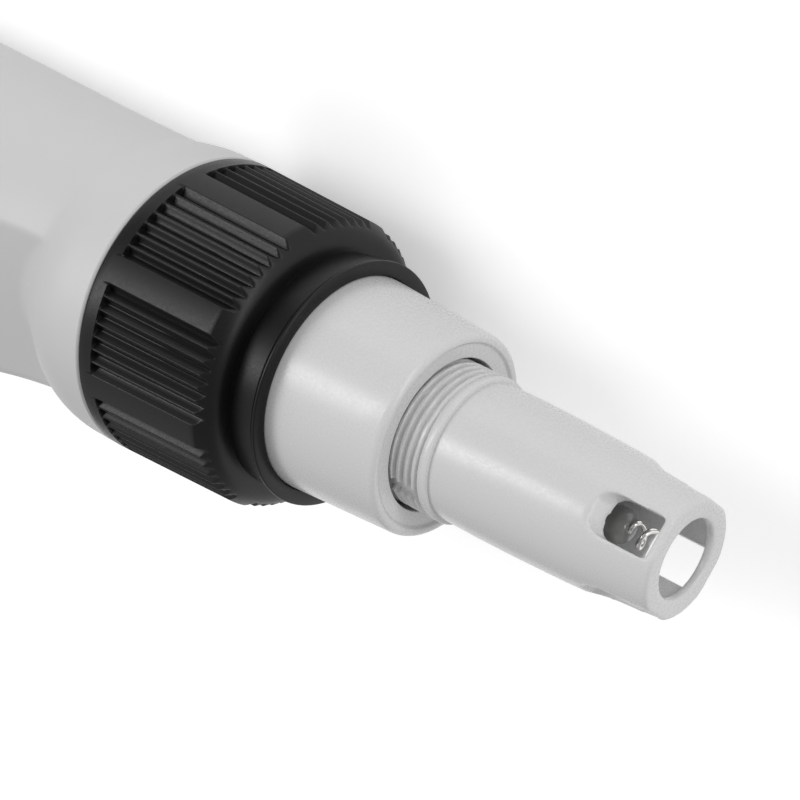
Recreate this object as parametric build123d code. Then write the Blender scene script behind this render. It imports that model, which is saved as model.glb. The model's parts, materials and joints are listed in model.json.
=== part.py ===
from build123d import *
import os
from math import asin, cos, radians, sin, sqrt

os.makedirs("parts", exist_ok=True)

# Pen-type water quality meter, millimetres.
# The long axis runs along X with the sensing tip at +X, and the display faces +Z.
# It is modelled round the axis line with x = 0 at the back edge of the twist collar,
# and moved once at the end so that the origin is the middle of the footprint.

# Whole instrument
HOUSING_END_X = -99.0
NECK_X = -10.0
WALL = 2.0
RUN_CLEAR = 0.1
LOOSE_CLEAR = 0.3
BOND_GAP = 0.05
JOINT_GAP = 0.15
ORING_R = 0.7

# Round fits of the collar joint, from the plug outwards
PLUG_FLANGE_R = 9.3
SHELL_SPIGOT_WALL = 2.65
SHELL_SPIGOT_R = PLUG_FLANGE_R + BOND_GAP + SHELL_SPIGOT_WALL
SPIGOT_BORE_R = SHELL_SPIGOT_R + LOOSE_CLEAR
SPIGOT_WALL = 1.7
SPIGOT_R = SPIGOT_BORE_R + SPIGOT_WALL
SOCKET_LEDGE = 3.1
CABLE_BORE_R = SPIGOT_BORE_R - SOCKET_LEDGE
COLLAR_BORE_R = SPIGOT_R + LOOSE_CLEAR
COLLAR_WALL = 3.37
COLLAR_BACK_R = COLLAR_BORE_R + COLLAR_WALL
COLLAR_TAPER = 0.77
COLLAR_FRONT_R = COLLAR_BACK_R - COLLAR_TAPER
REST_MARGIN = 0.03
REST_DEPTH = COLLAR_BACK_R + REST_MARGIN

# Twist collar
COLLAR_RIB_END_X = 17.15
COLLAR_BAND_LEN = 1.95
COLLAR_PAD_STEP = 0.15
COLLAR_LEDGE_STEP = 0.55
COLLAR_LEDGE_X = COLLAR_RIB_END_X + COLLAR_LEDGE_STEP
COLLAR_SHOULDER_LEN = 1.85
COLLAR_SHOULDER_X = COLLAR_RIB_END_X + COLLAR_SHOULDER_LEN
COLLAR_SLEEVE_LEN = 3.6
COLLAR_SLEEVE_X = COLLAR_SHOULDER_X + COLLAR_SLEEVE_LEN
COLLAR_LIP_LEN = 0.65
COLLAR_LIP_X = COLLAR_SLEEVE_X + COLLAR_LIP_LEN
COLLAR_DOME_DROP = 1.3
COLLAR_DOME_R = COLLAR_FRONT_R - COLLAR_DOME_DROP
COLLAR_PADS = 8
COLLAR_GROOVES = 7
GROOVE_PITCH = 5.03
GROOVE_DEPTH = 0.8
RIDGE_STEP = 0.15
PAD_ROLL = 1.0

# Electrode module
SHELL_FLANGE_GAP = 0.8
SHELL_FLANGE_R = COLLAR_BORE_R - SHELL_FLANGE_GAP
SHELL_FLANGE_LIP = 1.15
SHELL_R_BACK = SHELL_FLANGE_R - SHELL_FLANGE_LIP
SHELL_TAPER = 0.85
SHELL_R_FRONT = SHELL_R_BACK - SHELL_TAPER
SHELL_SHOWN_LEN = 14.3
SHELL_FRONT_X = COLLAR_LIP_X + SHELL_SHOWN_LEN
SHELL_EDGE_R = 0.7
SHELL_RIM_WALL = 1.1
SHELL_RIM_R = SHELL_R_FRONT - SHELL_RIM_WALL
SHELL_RIM_STEP = 0.35
SHELL_FLANGE_LEN = 3.2
SHELL_FLANGE_X = COLLAR_LEDGE_X - SHELL_FLANGE_LEN
SEAL_THICK = 1.4
WASHER_THICK = 0.28
WASHER_GAP = 0.02
SHELL_FLANGE_FRONT_X = COLLAR_LEDGE_X - WASHER_THICK - WASHER_GAP
SPIGOT_LEN = SHELL_FLANGE_X - SEAL_THICK - RUN_CLEAR
SLEEVE_WALL = 1.3
COLLAR_SLEEVE_R = SHELL_R_BACK + RUN_CLEAR + SLEEVE_WALL
SLEEVE_FLARE = 0.2
COLLAR_SHOULDER_R = COLLAR_SLEEVE_R - SLEEVE_FLARE
LIP_STEP = 0.35
COLLAR_LIP_R = COLLAR_SLEEVE_R + LIP_STEP

# Barrel with the neck for a storage cap
NECK_THREAD_R = 8.2
NECK_LEN = 4.11
NECK_STEP = 0.2
SHELL_BORE_R = NECK_THREAD_R - NECK_STEP
RECESS_GAP = 0.35
RECESS_R = NECK_THREAD_R + RECESS_GAP
RECESS_DEPTH = 4.55
RECESS_X = SHELL_FRONT_X - RECESS_DEPTH
BARREL_END_X = SHELL_FRONT_X + NECK_LEN
BARREL_WALL = 2.4
BARREL_BORE_R = SHELL_BORE_R - BARREL_WALL
BARREL_SPIGOT_STEP = 1.9
BARREL_SPIGOT_R = NECK_THREAD_R - BARREL_SPIGOT_STEP
BARREL_SPIGOT_LEN = 5.4
BARREL_SEAL_BACK = 3.0
HOLDER_WALL = 1.3
HOLDER_R = BARREL_SPIGOT_R - HOLDER_WALL
HOLDER_LEN = 6.0

# Guard bonded on the barrel
GUARD_LEN = 26.74
TIP_X = BARREL_END_X + GUARD_LEN
GUARD_STEP = 0.48
GUARD_BACK_R = NECK_THREAD_R - GUARD_STEP
GUARD_STRAIGHT_LEN = 8.34
GUARD_MID_X = BARREL_END_X + GUARD_STRAIGHT_LEN
GUARD_MID_DROP = 0.03
GUARD_MID_R = GUARD_BACK_R - GUARD_MID_DROP
GUARD_TAPER_LEN = 8.4
GUARD_TAPER_X = TIP_X - GUARD_TAPER_LEN
GUARD_TAPER_DROP = 0.42
GUARD_TAPER_R = GUARD_BACK_R - GUARD_TAPER_DROP
GUARD_END_DROP = 1.07
GUARD_END_R = GUARD_BACK_R - GUARD_END_DROP
GUARD_BORE_STEP = 0.2
GUARD_BORE_R = HOLDER_R + GUARD_BORE_STEP
GUARD_LIP = 0.92
GUARD_HOLE_R = GUARD_BORE_R - GUARD_LIP
GUARD_CHANNEL_DEPTH = 0.45
GUARD_RING_R = GUARD_END_R - GUARD_CHANNEL_DEPTH
GUARD_RING_LEN = 1.1
GUARD_RING_X = TIP_X - GUARD_RING_LEN
GUARD_EDGE_R = 0.5
SLOT_COUNT = 4
SLOT_WIDTH = 4.46
SLOT_LEN = 8.2
SLOT_BACK_X = TIP_X - SLOT_LEN
SLOT_SCOOP = 1.3
SLOT_BACK_INNER_X = SLOT_BACK_X + SLOT_SCOOP
SLOT_CORNER_R = 1.3
SLOT_ROLL = -4.0

# Plug and socket between the module and the housing
SOCKET_FRONT_X = 3.0
SOCKET_BACK_X = -4.4
SHROUD_INNER_R = 6.6
SHROUD_WALL = 1.2
SHROUD_LEN = 5.5
SHROUD_END_X = SOCKET_FRONT_X + SHROUD_LEN
KEY_WIDTH = 1.6
PIN_COUNT = 4
PIN_CIRCLE_R = 3.4
PIN_R = 0.5
PIN_PROUD = 0.5
PIN_END_X = SHROUD_END_X + PIN_PROUD
PIN_TAIL_COVER = 2.0
PLUG_FLANGE_THICK = 2.8
PLUG_GAP = 0.7
PLUG_SEAT_X = SHROUD_END_X + PLUG_GAP + PLUG_FLANGE_THICK
SHELL_SPIGOT_GAP = 0.4
SHELL_SPIGOT_X = SOCKET_FRONT_X + SHELL_SPIGOT_GAP
BARREL_BACK_GAP = 2.0
BARREL_BACK_X = PLUG_SEAT_X + BARREL_BACK_GAP

# Sensing elements
STEM_R = 2.4
STEM_WALL = 0.7
STEM_BACK_GAP = 5.0
STEM_BACK_X = PLUG_SEAT_X + STEM_BACK_GAP
STEM_INSET = 5.2
STEM_TIP_X = TIP_X - STEM_INSET
PLATINUM_REACH = 0.8
PLATINUM_X = STEM_TIP_X + PLATINUM_REACH
PLATINUM_LOOP_R = 1.3
PLATINUM_WIRE_R = 0.3
LEAD_R = 0.3
LEAD_GAP = 0.2
JUNCTION_THICK = 3.0

# Batteries, their tube and the screw cap
CELL_R = 5.8
CELL_LEN = 5.4
CELL_COUNT = 4
CELL_FIT = 0.2
CELL_BORE_R = CELL_R + CELL_FIT
CELL_CAN_STEP = 0.25
CAP_PLUG_LEN = 6.9
CAP_PLUG_END_X = HOUSING_END_X + CAP_PLUG_LEN
SPRING_SPACE = 1.7
CELL_START_X = CAP_PLUG_END_X + SPRING_SPACE
TUBE_STEP_BACK = 0.6
TUBE_STEP_X = CELL_START_X - TUBE_STEP_BACK
TUBE_STEP = 3.0
TUBE_BORE_R = CELL_BORE_R + TUBE_STEP
TUBE_WALL = 1.6
TUBE_END_WALL = 0.8
CONTACT_THICK = 0.3
CONTACT_LEG_WIDTH = 2.0
CAP_RIM = 4.0
CAP_R = TUBE_BORE_R + CAP_RIM
CAP_HEIGHT = 5.3
CAP_END_X = HOUSING_END_X - CAP_HEIGHT
CAP_EDGE_R = 1.2
CAP_GAP = 0.15
CAP_SEAL_DEPTH = 2.4
CAP_SEAL_X = HOUSING_END_X + CAP_SEAL_DEPTH
CAP_RIBS = 24
CAP_RIB_DEPTH = 0.5
COIN_SLOT_WIDTH = 1.8
COIN_SLOT_LEN = 15.0
COIN_SLOT_DEPTH = 1.6
SPRING_BASE_R = 5.0
SPRING_DISH_R = 3.6
SPRING_CROWN_R = 1.4

# Display, keys and the panel over them, from the blind end towards the collar
PANEL_INSET = 1.5
PANEL_THICK = 2.0
PANEL_CORNER_R = 2.5
PANEL_FIT = 0.1
PANEL_LEDGE = 1.1
PANEL_BACK_X = HOUSING_END_X + PANEL_INSET
BOSS_R = 1.5
BOSS_REACH = 0.3
BOSS_SPACE = 2 * BOSS_R + RUN_CLEAR
DISPLAY_GAP = 0.3
DISPLAY_LEN = 22.5
DISPLAY_WIDTH = 20.0
DISPLAY_SIDE = 0.9
DISPLAY_X = PANEL_BACK_X + PANEL_LEDGE + BOSS_SPACE + DISPLAY_GAP + DISPLAY_LEN / 2
WINDOW_END_MARGIN = 1.25
WINDOW_SIDE_MARGIN = 1.7
WINDOW_LEN = DISPLAY_LEN - 2 * WINDOW_END_MARGIN
WINDOW_WIDTH = DISPLAY_WIDTH - 2 * WINDOW_SIDE_MARGIN
WINDOW_THICK = 1.0
WINDOW_LEDGE = 1.0
WINDOW_RECESS = 0.2
LCD_THICK = 1.9
FRAME_WALL = 0.8
ZEBRA_HEIGHT = 2.5
ZEBRA_WIDTH = 1.6
KEY_R = 2.9
KEY_LIP = 0.45
KEY_FLANGE_R = KEY_R + KEY_LIP
KEY_FLANGE_THICK = 0.8
KEY_STEM_R = 1.2
KEY_PROUD = 0.6
KEY_TRAVEL = 0.8
KEY_DOME_SAG = 0.25
KEY_FIT = 0.2
KEY_SPACE = 0.5
KEY_PITCH = 2 * KEY_FLANGE_R + KEY_SPACE
KEY_SIDE = 0.35
KEY_GAP = 1.65
KEY_X = DISPLAY_X + DISPLAY_LEN / 2 + KEY_GAP + KEY_FLANGE_R
BOSS_GAP = 0.45
PANEL_END_X = KEY_X + KEY_FLANGE_R + BOSS_GAP + BOSS_SPACE + PANEL_LEDGE
PANEL_LEN = PANEL_END_X - PANEL_BACK_X
PANEL_X = (PANEL_END_X + PANEL_BACK_X) / 2
OPENING_LEN = PANEL_LEN - 2 * PANEL_LEDGE
OPENING_WIDTH = max(DISPLAY_WIDTH + 2 * DISPLAY_SIDE, 2 * (KEY_PITCH + KEY_FLANGE_R + KEY_SIDE))
PANEL_WIDTH = OPENING_WIDTH + 2 * PANEL_LEDGE
GASKET_THICK = 0.5
RIM_WALL = 1.0
RIM_DEPTH = 1.4

# Board and what it carries
BOARD_SPACE = 3.6
BOARD_THICK = 1.6
BOARD_CLEAR = 0.4
BOARD_LEN = OPENING_LEN - 2 * BOARD_CLEAR
BOARD_WIDTH = OPENING_WIDTH - 2 * BOARD_CLEAR
SWITCH_SIZE = 4.6
SWITCH_HEIGHT = 1.2
SWITCH_PLUNGER = 0.3
SWITCH_PLUNGER_R = 1.0
MAT_THICK = 0.45
MAT_SIDE = 1.6
MAT_LEN = 2 * (KEY_FLANGE_R + BOSS_GAP - RUN_CLEAR)
SCREW_R = 0.7
SCREW_HEAD_R = 1.4
SCREW_HEAD_THICK = 1.0
SCREW_LEN = 4.6
SCREW_SLOT_WIDTH = 0.4
SCREW_SLOT_DEPTH = 0.4
CHIP_SIZE = 7.0
CHIP_THICK = 1.0
RESISTOR_COUNT = 4
RESISTOR_PITCH = 2.4
RESISTOR_LEN = 1.2
RESISTOR_WIDTH = 2.0
RESISTOR_THICK = 0.8
CRYSTAL_R = 0.9
CRYSTAL_LEN = 6.0
CAPACITOR_R = 2.0
CAPACITOR_THICK = 1.5
COMPONENT_MARGIN = 3.0
FLEX_WIDTH = 8.0
FLEX_THICK = 0.4
FLEX_BEND_R = 12.0
FLEX_LOW_Z = 3.0
FLEX_PLUG_LEN = 3.0
FLEX_PLUG_MARGIN = 1.0

# Heights of the head, built up from the battery tube to the display face
BOARD_UNDER_Z = TUBE_BORE_R + TUBE_WALL + BOARD_SPACE
BOARD_TOP_Z = BOARD_UNDER_Z + BOARD_THICK
LCD_UNDER_Z = BOARD_TOP_Z + ZEBRA_HEIGHT
LCD_TOP_Z = LCD_UNDER_Z + LCD_THICK
PANEL_UNDER_Z = LCD_TOP_Z + RUN_CLEAR
HEAD_FLAT = PANEL_UNDER_Z + PANEL_THICK

# Housing: a round end at the collar that grows into a deeper head with a flat front
HEAD_MARGIN = 1.5
HEAD_X = PANEL_END_X + HEAD_MARGIN
PANEL_MARGIN = 1.5
HEAD_FLAT_HALF = PANEL_WIDTH / 2 + PANEL_MARGIN
SIDE_BULGE = 4.3
HEAD_HALF_WIDTH = HEAD_FLAT_HALF + SIDE_BULGE
REST_CUT = 0.6
HEAD_BACK = REST_DEPTH + REST_CUT
CREASE_R = 1.2
END_ROUND = 2.4
END_WALL = 2.2
LOFT_STATIONS = 4

# Flange and neck at the collar end
FLANGE_STEP = 0.02
FLANGE_R = COLLAR_BACK_R - FLANGE_STEP
FLANGE_LEN = 3.5
FLANGE_FRONT_X = -JOINT_GAP
FLANGE_BACK_ARC_R = 12.0
FLANGE_BACK_SWEEP = 35.0
FLANGE_ROOT_LEN = 6.0
FLANGE_ROOT_X = NECK_X - FLANGE_ROOT_LEN
NECK_DROP = 0.75
NECK_HALF_WIDTH = FLANGE_R - NECK_DROP
NECK_BACK = FLANGE_R - NECK_DROP
NECK_FLAT_WALL = 2.1
NECK_FLAT = CABLE_BORE_R + NECK_FLAT_WALL
NECK_FLAT_HALF = 10.7
FLANGE_ROOT_RISE = 0.3
FLANGE_ROOT_R = NECK_FLAT + FLANGE_ROOT_RISE

CENTRE_X = (TIP_X + CAP_END_X) / 2
PLACE = Pos(-CENTRE_X, 0, REST_DEPTH)


def along_x(x_start, x_end, radius):
    """Round bar on the axis between two stations."""
    return Pos((x_start + x_end) / 2, 0, 0) * Rot(0, 90, 0) * Cylinder(radius, abs(x_end - x_start))


def ring_x(x_start, x_end, outer, inner):
    """Flat ring or tube on the axis between two stations."""
    return along_x(x_start, x_end, outer) - along_x(x_start - 1, x_end + 1, inner)


def torus_x(x, ring_r, wire_r):
    """O-ring round the axis."""
    return Pos(x, 0, 0) * Rot(0, 90, 0) * Torus(ring_r, wire_r)


def turned(outline):
    """Solid of revolution from a closed outline drawn in the X-Z plane above the axis."""
    return revolve(make_face(outline), Axis.X, 360)


def turned_polygon(points):
    """Solid of revolution from straight-sided corner points (x, radius)."""
    return turned(Polyline(*[(x, 0, r) for x, r in points], close=True))


def rolled(degrees):
    """Turn about the axis; roll 0 lies on the side, 43 degrees right of the display."""
    return Rot(degrees - 47, 0, 0)


def plate(x, z_low, length, width, thickness, corner=0.0):
    """Flat plate with rounded corners, its lower face at z_low."""
    outline = RectangleRounded(length, width, corner) if corner else Rectangle(length, width)
    return Pos(x, 0, z_low) * extrude(outline, amount=thickness)


def head_share(x):
    """How far the section has grown from the collar end (0) to the head (1)."""
    u = min(max((NECK_X - x) / (NECK_X - HEAD_X), 0), 1)
    return u * u * (3 - 2 * u)


def grown(neck_value, head_value, x):
    return neck_value + (head_value - neck_value) * head_share(x)


def housing_section(x, inset, crease):
    """Section across the axis: round back, bulged sides and a flat front."""
    half = grown(NECK_HALF_WIDTH, HEAD_HALF_WIDTH, x)
    back = grown(NECK_BACK, HEAD_BACK, x) - inset
    flat = grown(NECK_FLAT, HEAD_FLAT, x)
    flat_half = grown(NECK_FLAT_HALF, HEAD_FLAT_HALF, x)
    bulge = flat / sqrt(1 - (flat_half / half) ** 2) - inset
    half = half - inset
    flat = flat - inset
    lower = Ellipse(half, back) & Pos(0, -back / 2) * Rectangle(2.2 * half, back)
    upper = Ellipse(half, bulge) & Pos(0, flat / 2) * Rectangle(2.2 * half, flat)
    outline = lower + upper
    corners = outline.vertices().filter_by(lambda v: abs(v.Y - flat) < 1e-4)
    return Plane.YZ.offset(x) * fillet(corners, crease)


def housing_loft(x_back, x_front, inset, crease):
    """Shell form through evenly spaced stations of the swept stretch and its straight ends."""
    swept = [HEAD_X + (NECK_X - HEAD_X) * k / LOFT_STATIONS for k in range(LOFT_STATIONS + 1)]
    middle = loft([housing_section(x, inset, crease) for x in swept])
    head = loft([housing_section(x, inset, crease) for x in (x_back, HEAD_X)])
    neck = loft([housing_section(x, inset, crease) for x in (NECK_X, x_front)])
    return head + middle + neck


def flange():
    """Round flange with a convex back that runs down into the flat of the housing."""
    arc_top = (-FLANGE_LEN, FLANGE_R)
    centre_r = FLANGE_R - FLANGE_BACK_ARC_R
    half_sweep = radians(FLANGE_BACK_SWEEP / 2)
    sweep = radians(FLANGE_BACK_SWEEP)
    arc_mid = (-FLANGE_LEN - FLANGE_BACK_ARC_R * sin(half_sweep), centre_r + FLANGE_BACK_ARC_R * cos(half_sweep))
    arc_end = (-FLANGE_LEN - FLANGE_BACK_ARC_R * sin(sweep), centre_r + FLANGE_BACK_ARC_R * cos(sweep))
    root = (FLANGE_ROOT_X, FLANGE_ROOT_R)
    lines = [
        Line((FLANGE_FRONT_X, 0, CABLE_BORE_R), (FLANGE_FRONT_X, 0, FLANGE_R)),
        Line((FLANGE_FRONT_X, 0, FLANGE_R), (arc_top[0], 0, arc_top[1])),
        ThreePointArc((arc_top[0], 0, arc_top[1]), (arc_mid[0], 0, arc_mid[1]), (arc_end[0], 0, arc_end[1])),
        Line((arc_end[0], 0, arc_end[1]), (root[0], 0, root[1])),
        Line((root[0], 0, root[1]), (root[0], 0, CABLE_BORE_R)),
        Line((root[0], 0, CABLE_BORE_R), (FLANGE_FRONT_X, 0, CABLE_BORE_R)),
    ]
    return turned(lines)


def housing():
    """One moulded shell: head, flange, collar spigot and the tube that holds the cells."""
    outer = housing_loft(HOUSING_END_X, FLANGE_FRONT_X - FLANGE_LEN, 0, CREASE_R)
    end_edges = outer.faces().sort_by(Axis.X)[0].edges()
    outer = fillet(end_edges, END_ROUND)
    cavity = housing_loft(HOUSING_END_X + END_WALL, NECK_X - WALL, WALL, CREASE_R)
    spigot = ring_x(FLANGE_FRONT_X - FLANGE_LEN, SPIGOT_LEN, SPIGOT_R, SPIGOT_BORE_R)
    shell = outer + flange() - cavity - along_x(NECK_X - 2 * WALL, 0, CABLE_BORE_R)
    shell = shell - along_x(0, SPIGOT_LEN, SPIGOT_BORE_R) + spigot
    shell = shell - along_x(0, SPIGOT_LEN + 1, SPIGOT_BORE_R) - along_x(NECK_X - 2 * WALL, 1, CABLE_BORE_R)
    rim = plate(PANEL_X, PANEL_UNDER_Z - GASKET_THICK - RIM_DEPTH, PANEL_LEN + 2 * RIM_WALL,
                PANEL_WIDTH + 2 * RIM_WALL, RIM_DEPTH + GASKET_THICK + WALL / 2)
    seat = plate(PANEL_X, PANEL_UNDER_Z - GASKET_THICK, PANEL_LEN + 2 * PANEL_FIT,
                 PANEL_WIDTH + 2 * PANEL_FIT, 2 * PANEL_THICK, PANEL_CORNER_R + PANEL_FIT)
    opening = plate(PANEL_X, PANEL_UNDER_Z - GASKET_THICK - 2 * RIM_DEPTH, OPENING_LEN,
                    OPENING_WIDTH, 4 * RIM_DEPTH, PANEL_CORNER_R - PANEL_LEDGE)
    tube = along_x(HOUSING_END_X + END_WALL / 2, TUBE_STEP_X + TUBE_WALL, TUBE_BORE_R + TUBE_WALL)
    tube_end_x = CELL_START_X + CELL_COUNT * CELL_LEN + CONTACT_THICK + TUBE_END_WALL
    tube = tube + along_x(TUBE_STEP_X, tube_end_x, CELL_BORE_R + TUBE_WALL)
    tube_bore = along_x(HOUSING_END_X - 1, TUBE_STEP_X, TUBE_BORE_R)
    tube_bore = tube_bore + along_x(TUBE_STEP_X - 1, tube_end_x - TUBE_END_WALL, CELL_BORE_R)
    tube_bore = tube_bore + along_x(tube_end_x - 2, tube_end_x + 1, CELL_BORE_R / 3)
    shell = (shell + rim + tube) - seat - opening - tube_bore
    rest_cut = plate((HOUSING_END_X + NECK_X) / 2, -REST_DEPTH - HEAD_BACK, 2 * (NECK_X - HOUSING_END_X),
                     4 * HEAD_HALF_WIDTH, HEAD_BACK)
    return shell - rest_cut


def front_panel():
    """Inlaid cover with the display opening, three key holes and four screw bosses."""
    panel = plate(PANEL_X, PANEL_UNDER_Z, PANEL_LEN, PANEL_WIDTH, PANEL_THICK, PANEL_CORNER_R)
    seat_depth = WINDOW_THICK + WINDOW_RECESS
    panel = panel - plate(DISPLAY_X, HEAD_FLAT - seat_depth, WINDOW_LEN + 2 * PANEL_FIT,
                          WINDOW_WIDTH + 2 * PANEL_FIT, 2 * seat_depth, 1.0)
    panel = panel - plate(DISPLAY_X, PANEL_UNDER_Z - 1, WINDOW_LEN - 2 * WINDOW_LEDGE,
                          WINDOW_WIDTH - 2 * WINDOW_LEDGE, PANEL_THICK + 2, 0.6)
    for y in key_rows():
        panel = panel - Pos(KEY_X, y, HEAD_FLAT - PANEL_THICK / 2) * Cylinder(KEY_R + KEY_FIT, 2 * PANEL_THICK)
    boss_height = PANEL_UNDER_Z - BOARD_TOP_Z
    for x, y in screw_places():
        panel = panel + Pos(x, y, BOARD_TOP_Z + boss_height / 2) * Cylinder(BOSS_R, boss_height)
    for x, y in screw_places():
        hole = Cylinder(SCREW_R + BOND_GAP, SCREW_LEN - BOARD_THICK + BOSS_REACH)
        panel = panel - Pos(x, y, BOARD_TOP_Z + (SCREW_LEN - BOARD_THICK) / 2) * hole
    return panel


def key_rows():
    return [-KEY_PITCH, 0, KEY_PITCH]


def screw_places():
    """Board screws: two behind the display and two beyond the keys."""
    back = PANEL_X - OPENING_LEN / 2 + BOSS_R + RUN_CLEAR
    front = PANEL_X + OPENING_LEN / 2 - BOSS_R - RUN_CLEAR
    side = OPENING_WIDTH / 2 - BOSS_R - 2 * BOARD_CLEAR
    return [(x, y) for x in (back, front) for y in (-side, side)]


def panel_gasket():
    ring = plate(PANEL_X, PANEL_UNDER_Z - GASKET_THICK, PANEL_LEN, PANEL_WIDTH, GASKET_THICK, PANEL_CORNER_R)
    return ring - plate(PANEL_X, PANEL_UNDER_Z - GASKET_THICK - 1, OPENING_LEN, OPENING_WIDTH,
                        GASKET_THICK + 2, PANEL_CORNER_R - PANEL_LEDGE)


def display_window():
    return plate(DISPLAY_X, HEAD_FLAT - WINDOW_RECESS - WINDOW_THICK, WINDOW_LEN, WINDOW_WIDTH,
                 WINDOW_THICK, 1.0)


def lcd_glass():
    length = DISPLAY_LEN - 2 * FRAME_WALL - 2 * RUN_CLEAR
    width = DISPLAY_WIDTH - 2 * FRAME_WALL - 2 * RUN_CLEAR
    rear = plate(DISPLAY_X, LCD_UNDER_Z, length, width, LCD_THICK / 2)
    front = plate(DISPLAY_X, LCD_UNDER_Z + LCD_THICK / 2, length, width - 2 * ZEBRA_WIDTH, LCD_THICK / 2)
    return rear + front


def lcd_frame():
    height = LCD_TOP_Z - BOARD_TOP_Z
    frame = plate(DISPLAY_X, BOARD_TOP_Z, DISPLAY_LEN, DISPLAY_WIDTH, height, 0.6)
    return frame - plate(DISPLAY_X, BOARD_TOP_Z - 1, DISPLAY_LEN - 2 * FRAME_WALL,
                         DISPLAY_WIDTH - 2 * FRAME_WALL, height + 2)


def zebra_strips():
    """Two elastomer strips that carry the contacts from the board up to the display glass."""
    length = DISPLAY_LEN - 2 * FRAME_WALL - 4 * LOOSE_CLEAR
    side = DISPLAY_WIDTH / 2 - FRAME_WALL - ZEBRA_WIDTH / 2 - RUN_CLEAR
    strip = plate(DISPLAY_X, BOARD_TOP_Z, length, ZEBRA_WIDTH, ZEBRA_HEIGHT)
    return Pos(0, side, 0) * strip + Pos(0, -side, 0) * strip


def main_board():
    board = plate(PANEL_X, BOARD_UNDER_Z, BOARD_LEN, BOARD_WIDTH, BOARD_THICK, PANEL_CORNER_R - PANEL_LEDGE)
    for x, y in screw_places():
        board = board - Pos(x, y, BOARD_UNDER_Z) * Cylinder(SCREW_R + RUN_CLEAR, 4 * BOARD_THICK)
    return board


def board_screws():
    screws = []
    for x, y in screw_places():
        head = Pos(x, y, BOARD_UNDER_Z - SCREW_HEAD_THICK / 2) * Cylinder(SCREW_HEAD_R, SCREW_HEAD_THICK)
        shank = Pos(x, y, BOARD_UNDER_Z + SCREW_LEN / 2) * Cylinder(SCREW_R, SCREW_LEN)
        drive = Pos(x, y, BOARD_UNDER_Z - SCREW_HEAD_THICK) * Box(
            SCREW_SLOT_WIDTH, 2 * SCREW_HEAD_R, 2 * SCREW_SLOT_DEPTH)
        screws.append(head + shank - drive)
    return screws


def controller_chip():
    chip = plate(DISPLAY_X, BOARD_UNDER_Z - CHIP_THICK, CHIP_SIZE, CHIP_SIZE, CHIP_THICK)
    return chamfer(chip.faces().sort_by(Axis.Z)[0].edges(), CHIP_THICK / 4)


def board_components():
    """Crystal can, coin-sized capacitor and four chip parts on the back of the board."""
    chips = []
    side = BOARD_WIDTH / 2 - COMPONENT_MARGIN
    resistor = plate(DISPLAY_X + CHIP_SIZE, BOARD_UNDER_Z - RESISTOR_THICK, RESISTOR_LEN, RESISTOR_WIDTH,
                     RESISTOR_THICK)
    for k in range(RESISTOR_COUNT):
        chips.append(Pos(RESISTOR_PITCH * k, side / 2, 0) * resistor)
    can = Pos(DISPLAY_X, side, BOARD_UNDER_Z - CRYSTAL_R) * Rot(0, 90, 0) * Cylinder(CRYSTAL_R, CRYSTAL_LEN)
    capacitor = Pos(DISPLAY_X - CHIP_SIZE, -side, BOARD_UNDER_Z - CAPACITOR_THICK / 2) * Cylinder(
        CAPACITOR_R, CAPACITOR_THICK)
    return chips + [can, capacitor]


def tact_switches():
    switches = []
    for y in key_rows():
        body = Pos(KEY_X, y, BOARD_TOP_Z + SWITCH_HEIGHT / 2) * Box(SWITCH_SIZE, SWITCH_SIZE, SWITCH_HEIGHT)
        top_z = BOARD_TOP_Z + SWITCH_HEIGHT
        switches.append(body + Pos(KEY_X, y, top_z + SWITCH_PLUNGER / 2) * Cylinder(
            SWITCH_PLUNGER_R, SWITCH_PLUNGER))
    return switches


def keypad_mat():
    """Silicone sheet that lies over the switches and seals the board below the keys."""
    low = BOARD_TOP_Z + SWITCH_HEIGHT + SWITCH_PLUNGER
    return plate(KEY_X, low, MAT_LEN, 2 * (KEY_PITCH + KEY_STEM_R + MAT_SIDE), MAT_THICK, 1.0)


def key_button(y):
    """Round key with a retaining flange under the panel, a stem and a slightly domed top."""
    top = HEAD_FLAT + KEY_PROUD
    flange_top = PANEL_UNDER_Z - RUN_CLEAR
    flange_low = flange_top - KEY_FLANGE_THICK
    mat_top = BOARD_TOP_Z + SWITCH_HEIGHT + SWITCH_PLUNGER + MAT_THICK
    stem_low = mat_top + KEY_TRAVEL + RUN_CLEAR / 2
    dome_r = (KEY_R ** 2 + KEY_DOME_SAG ** 2) / (2 * KEY_DOME_SAG)
    half_angle = asin(KEY_R / dome_r) / 2
    dome_mid = (dome_r * sin(half_angle), 0, top - dome_r * (1 - cos(half_angle)))
    outline = [
        Line((0, 0, stem_low), (KEY_STEM_R, 0, stem_low)),
        Line((KEY_STEM_R, 0, stem_low), (KEY_STEM_R, 0, flange_low)),
        Line((KEY_STEM_R, 0, flange_low), (KEY_FLANGE_R, 0, flange_low)),
        Line((KEY_FLANGE_R, 0, flange_low), (KEY_FLANGE_R, 0, flange_top)),
        Line((KEY_FLANGE_R, 0, flange_top), (KEY_R, 0, flange_top)),
        Line((KEY_R, 0, flange_top), (KEY_R, 0, top - KEY_DOME_SAG)),
        ThreePointArc((KEY_R, 0, top - KEY_DOME_SAG), dome_mid, (0, 0, top)),
        Line((0, 0, top), (0, 0, stem_low)),
    ]
    return Pos(KEY_X, y, 0) * revolve(make_face(outline), Axis.Z, 360)


def flex_connector():
    x = PANEL_X + BOARD_LEN / 2 - FLEX_PLUG_MARGIN - FLEX_PLUG_LEN / 2
    return plate(x, BOARD_UNDER_Z - CHIP_THICK, FLEX_PLUG_LEN, FLEX_WIDTH + 1, CHIP_THICK)


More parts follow.
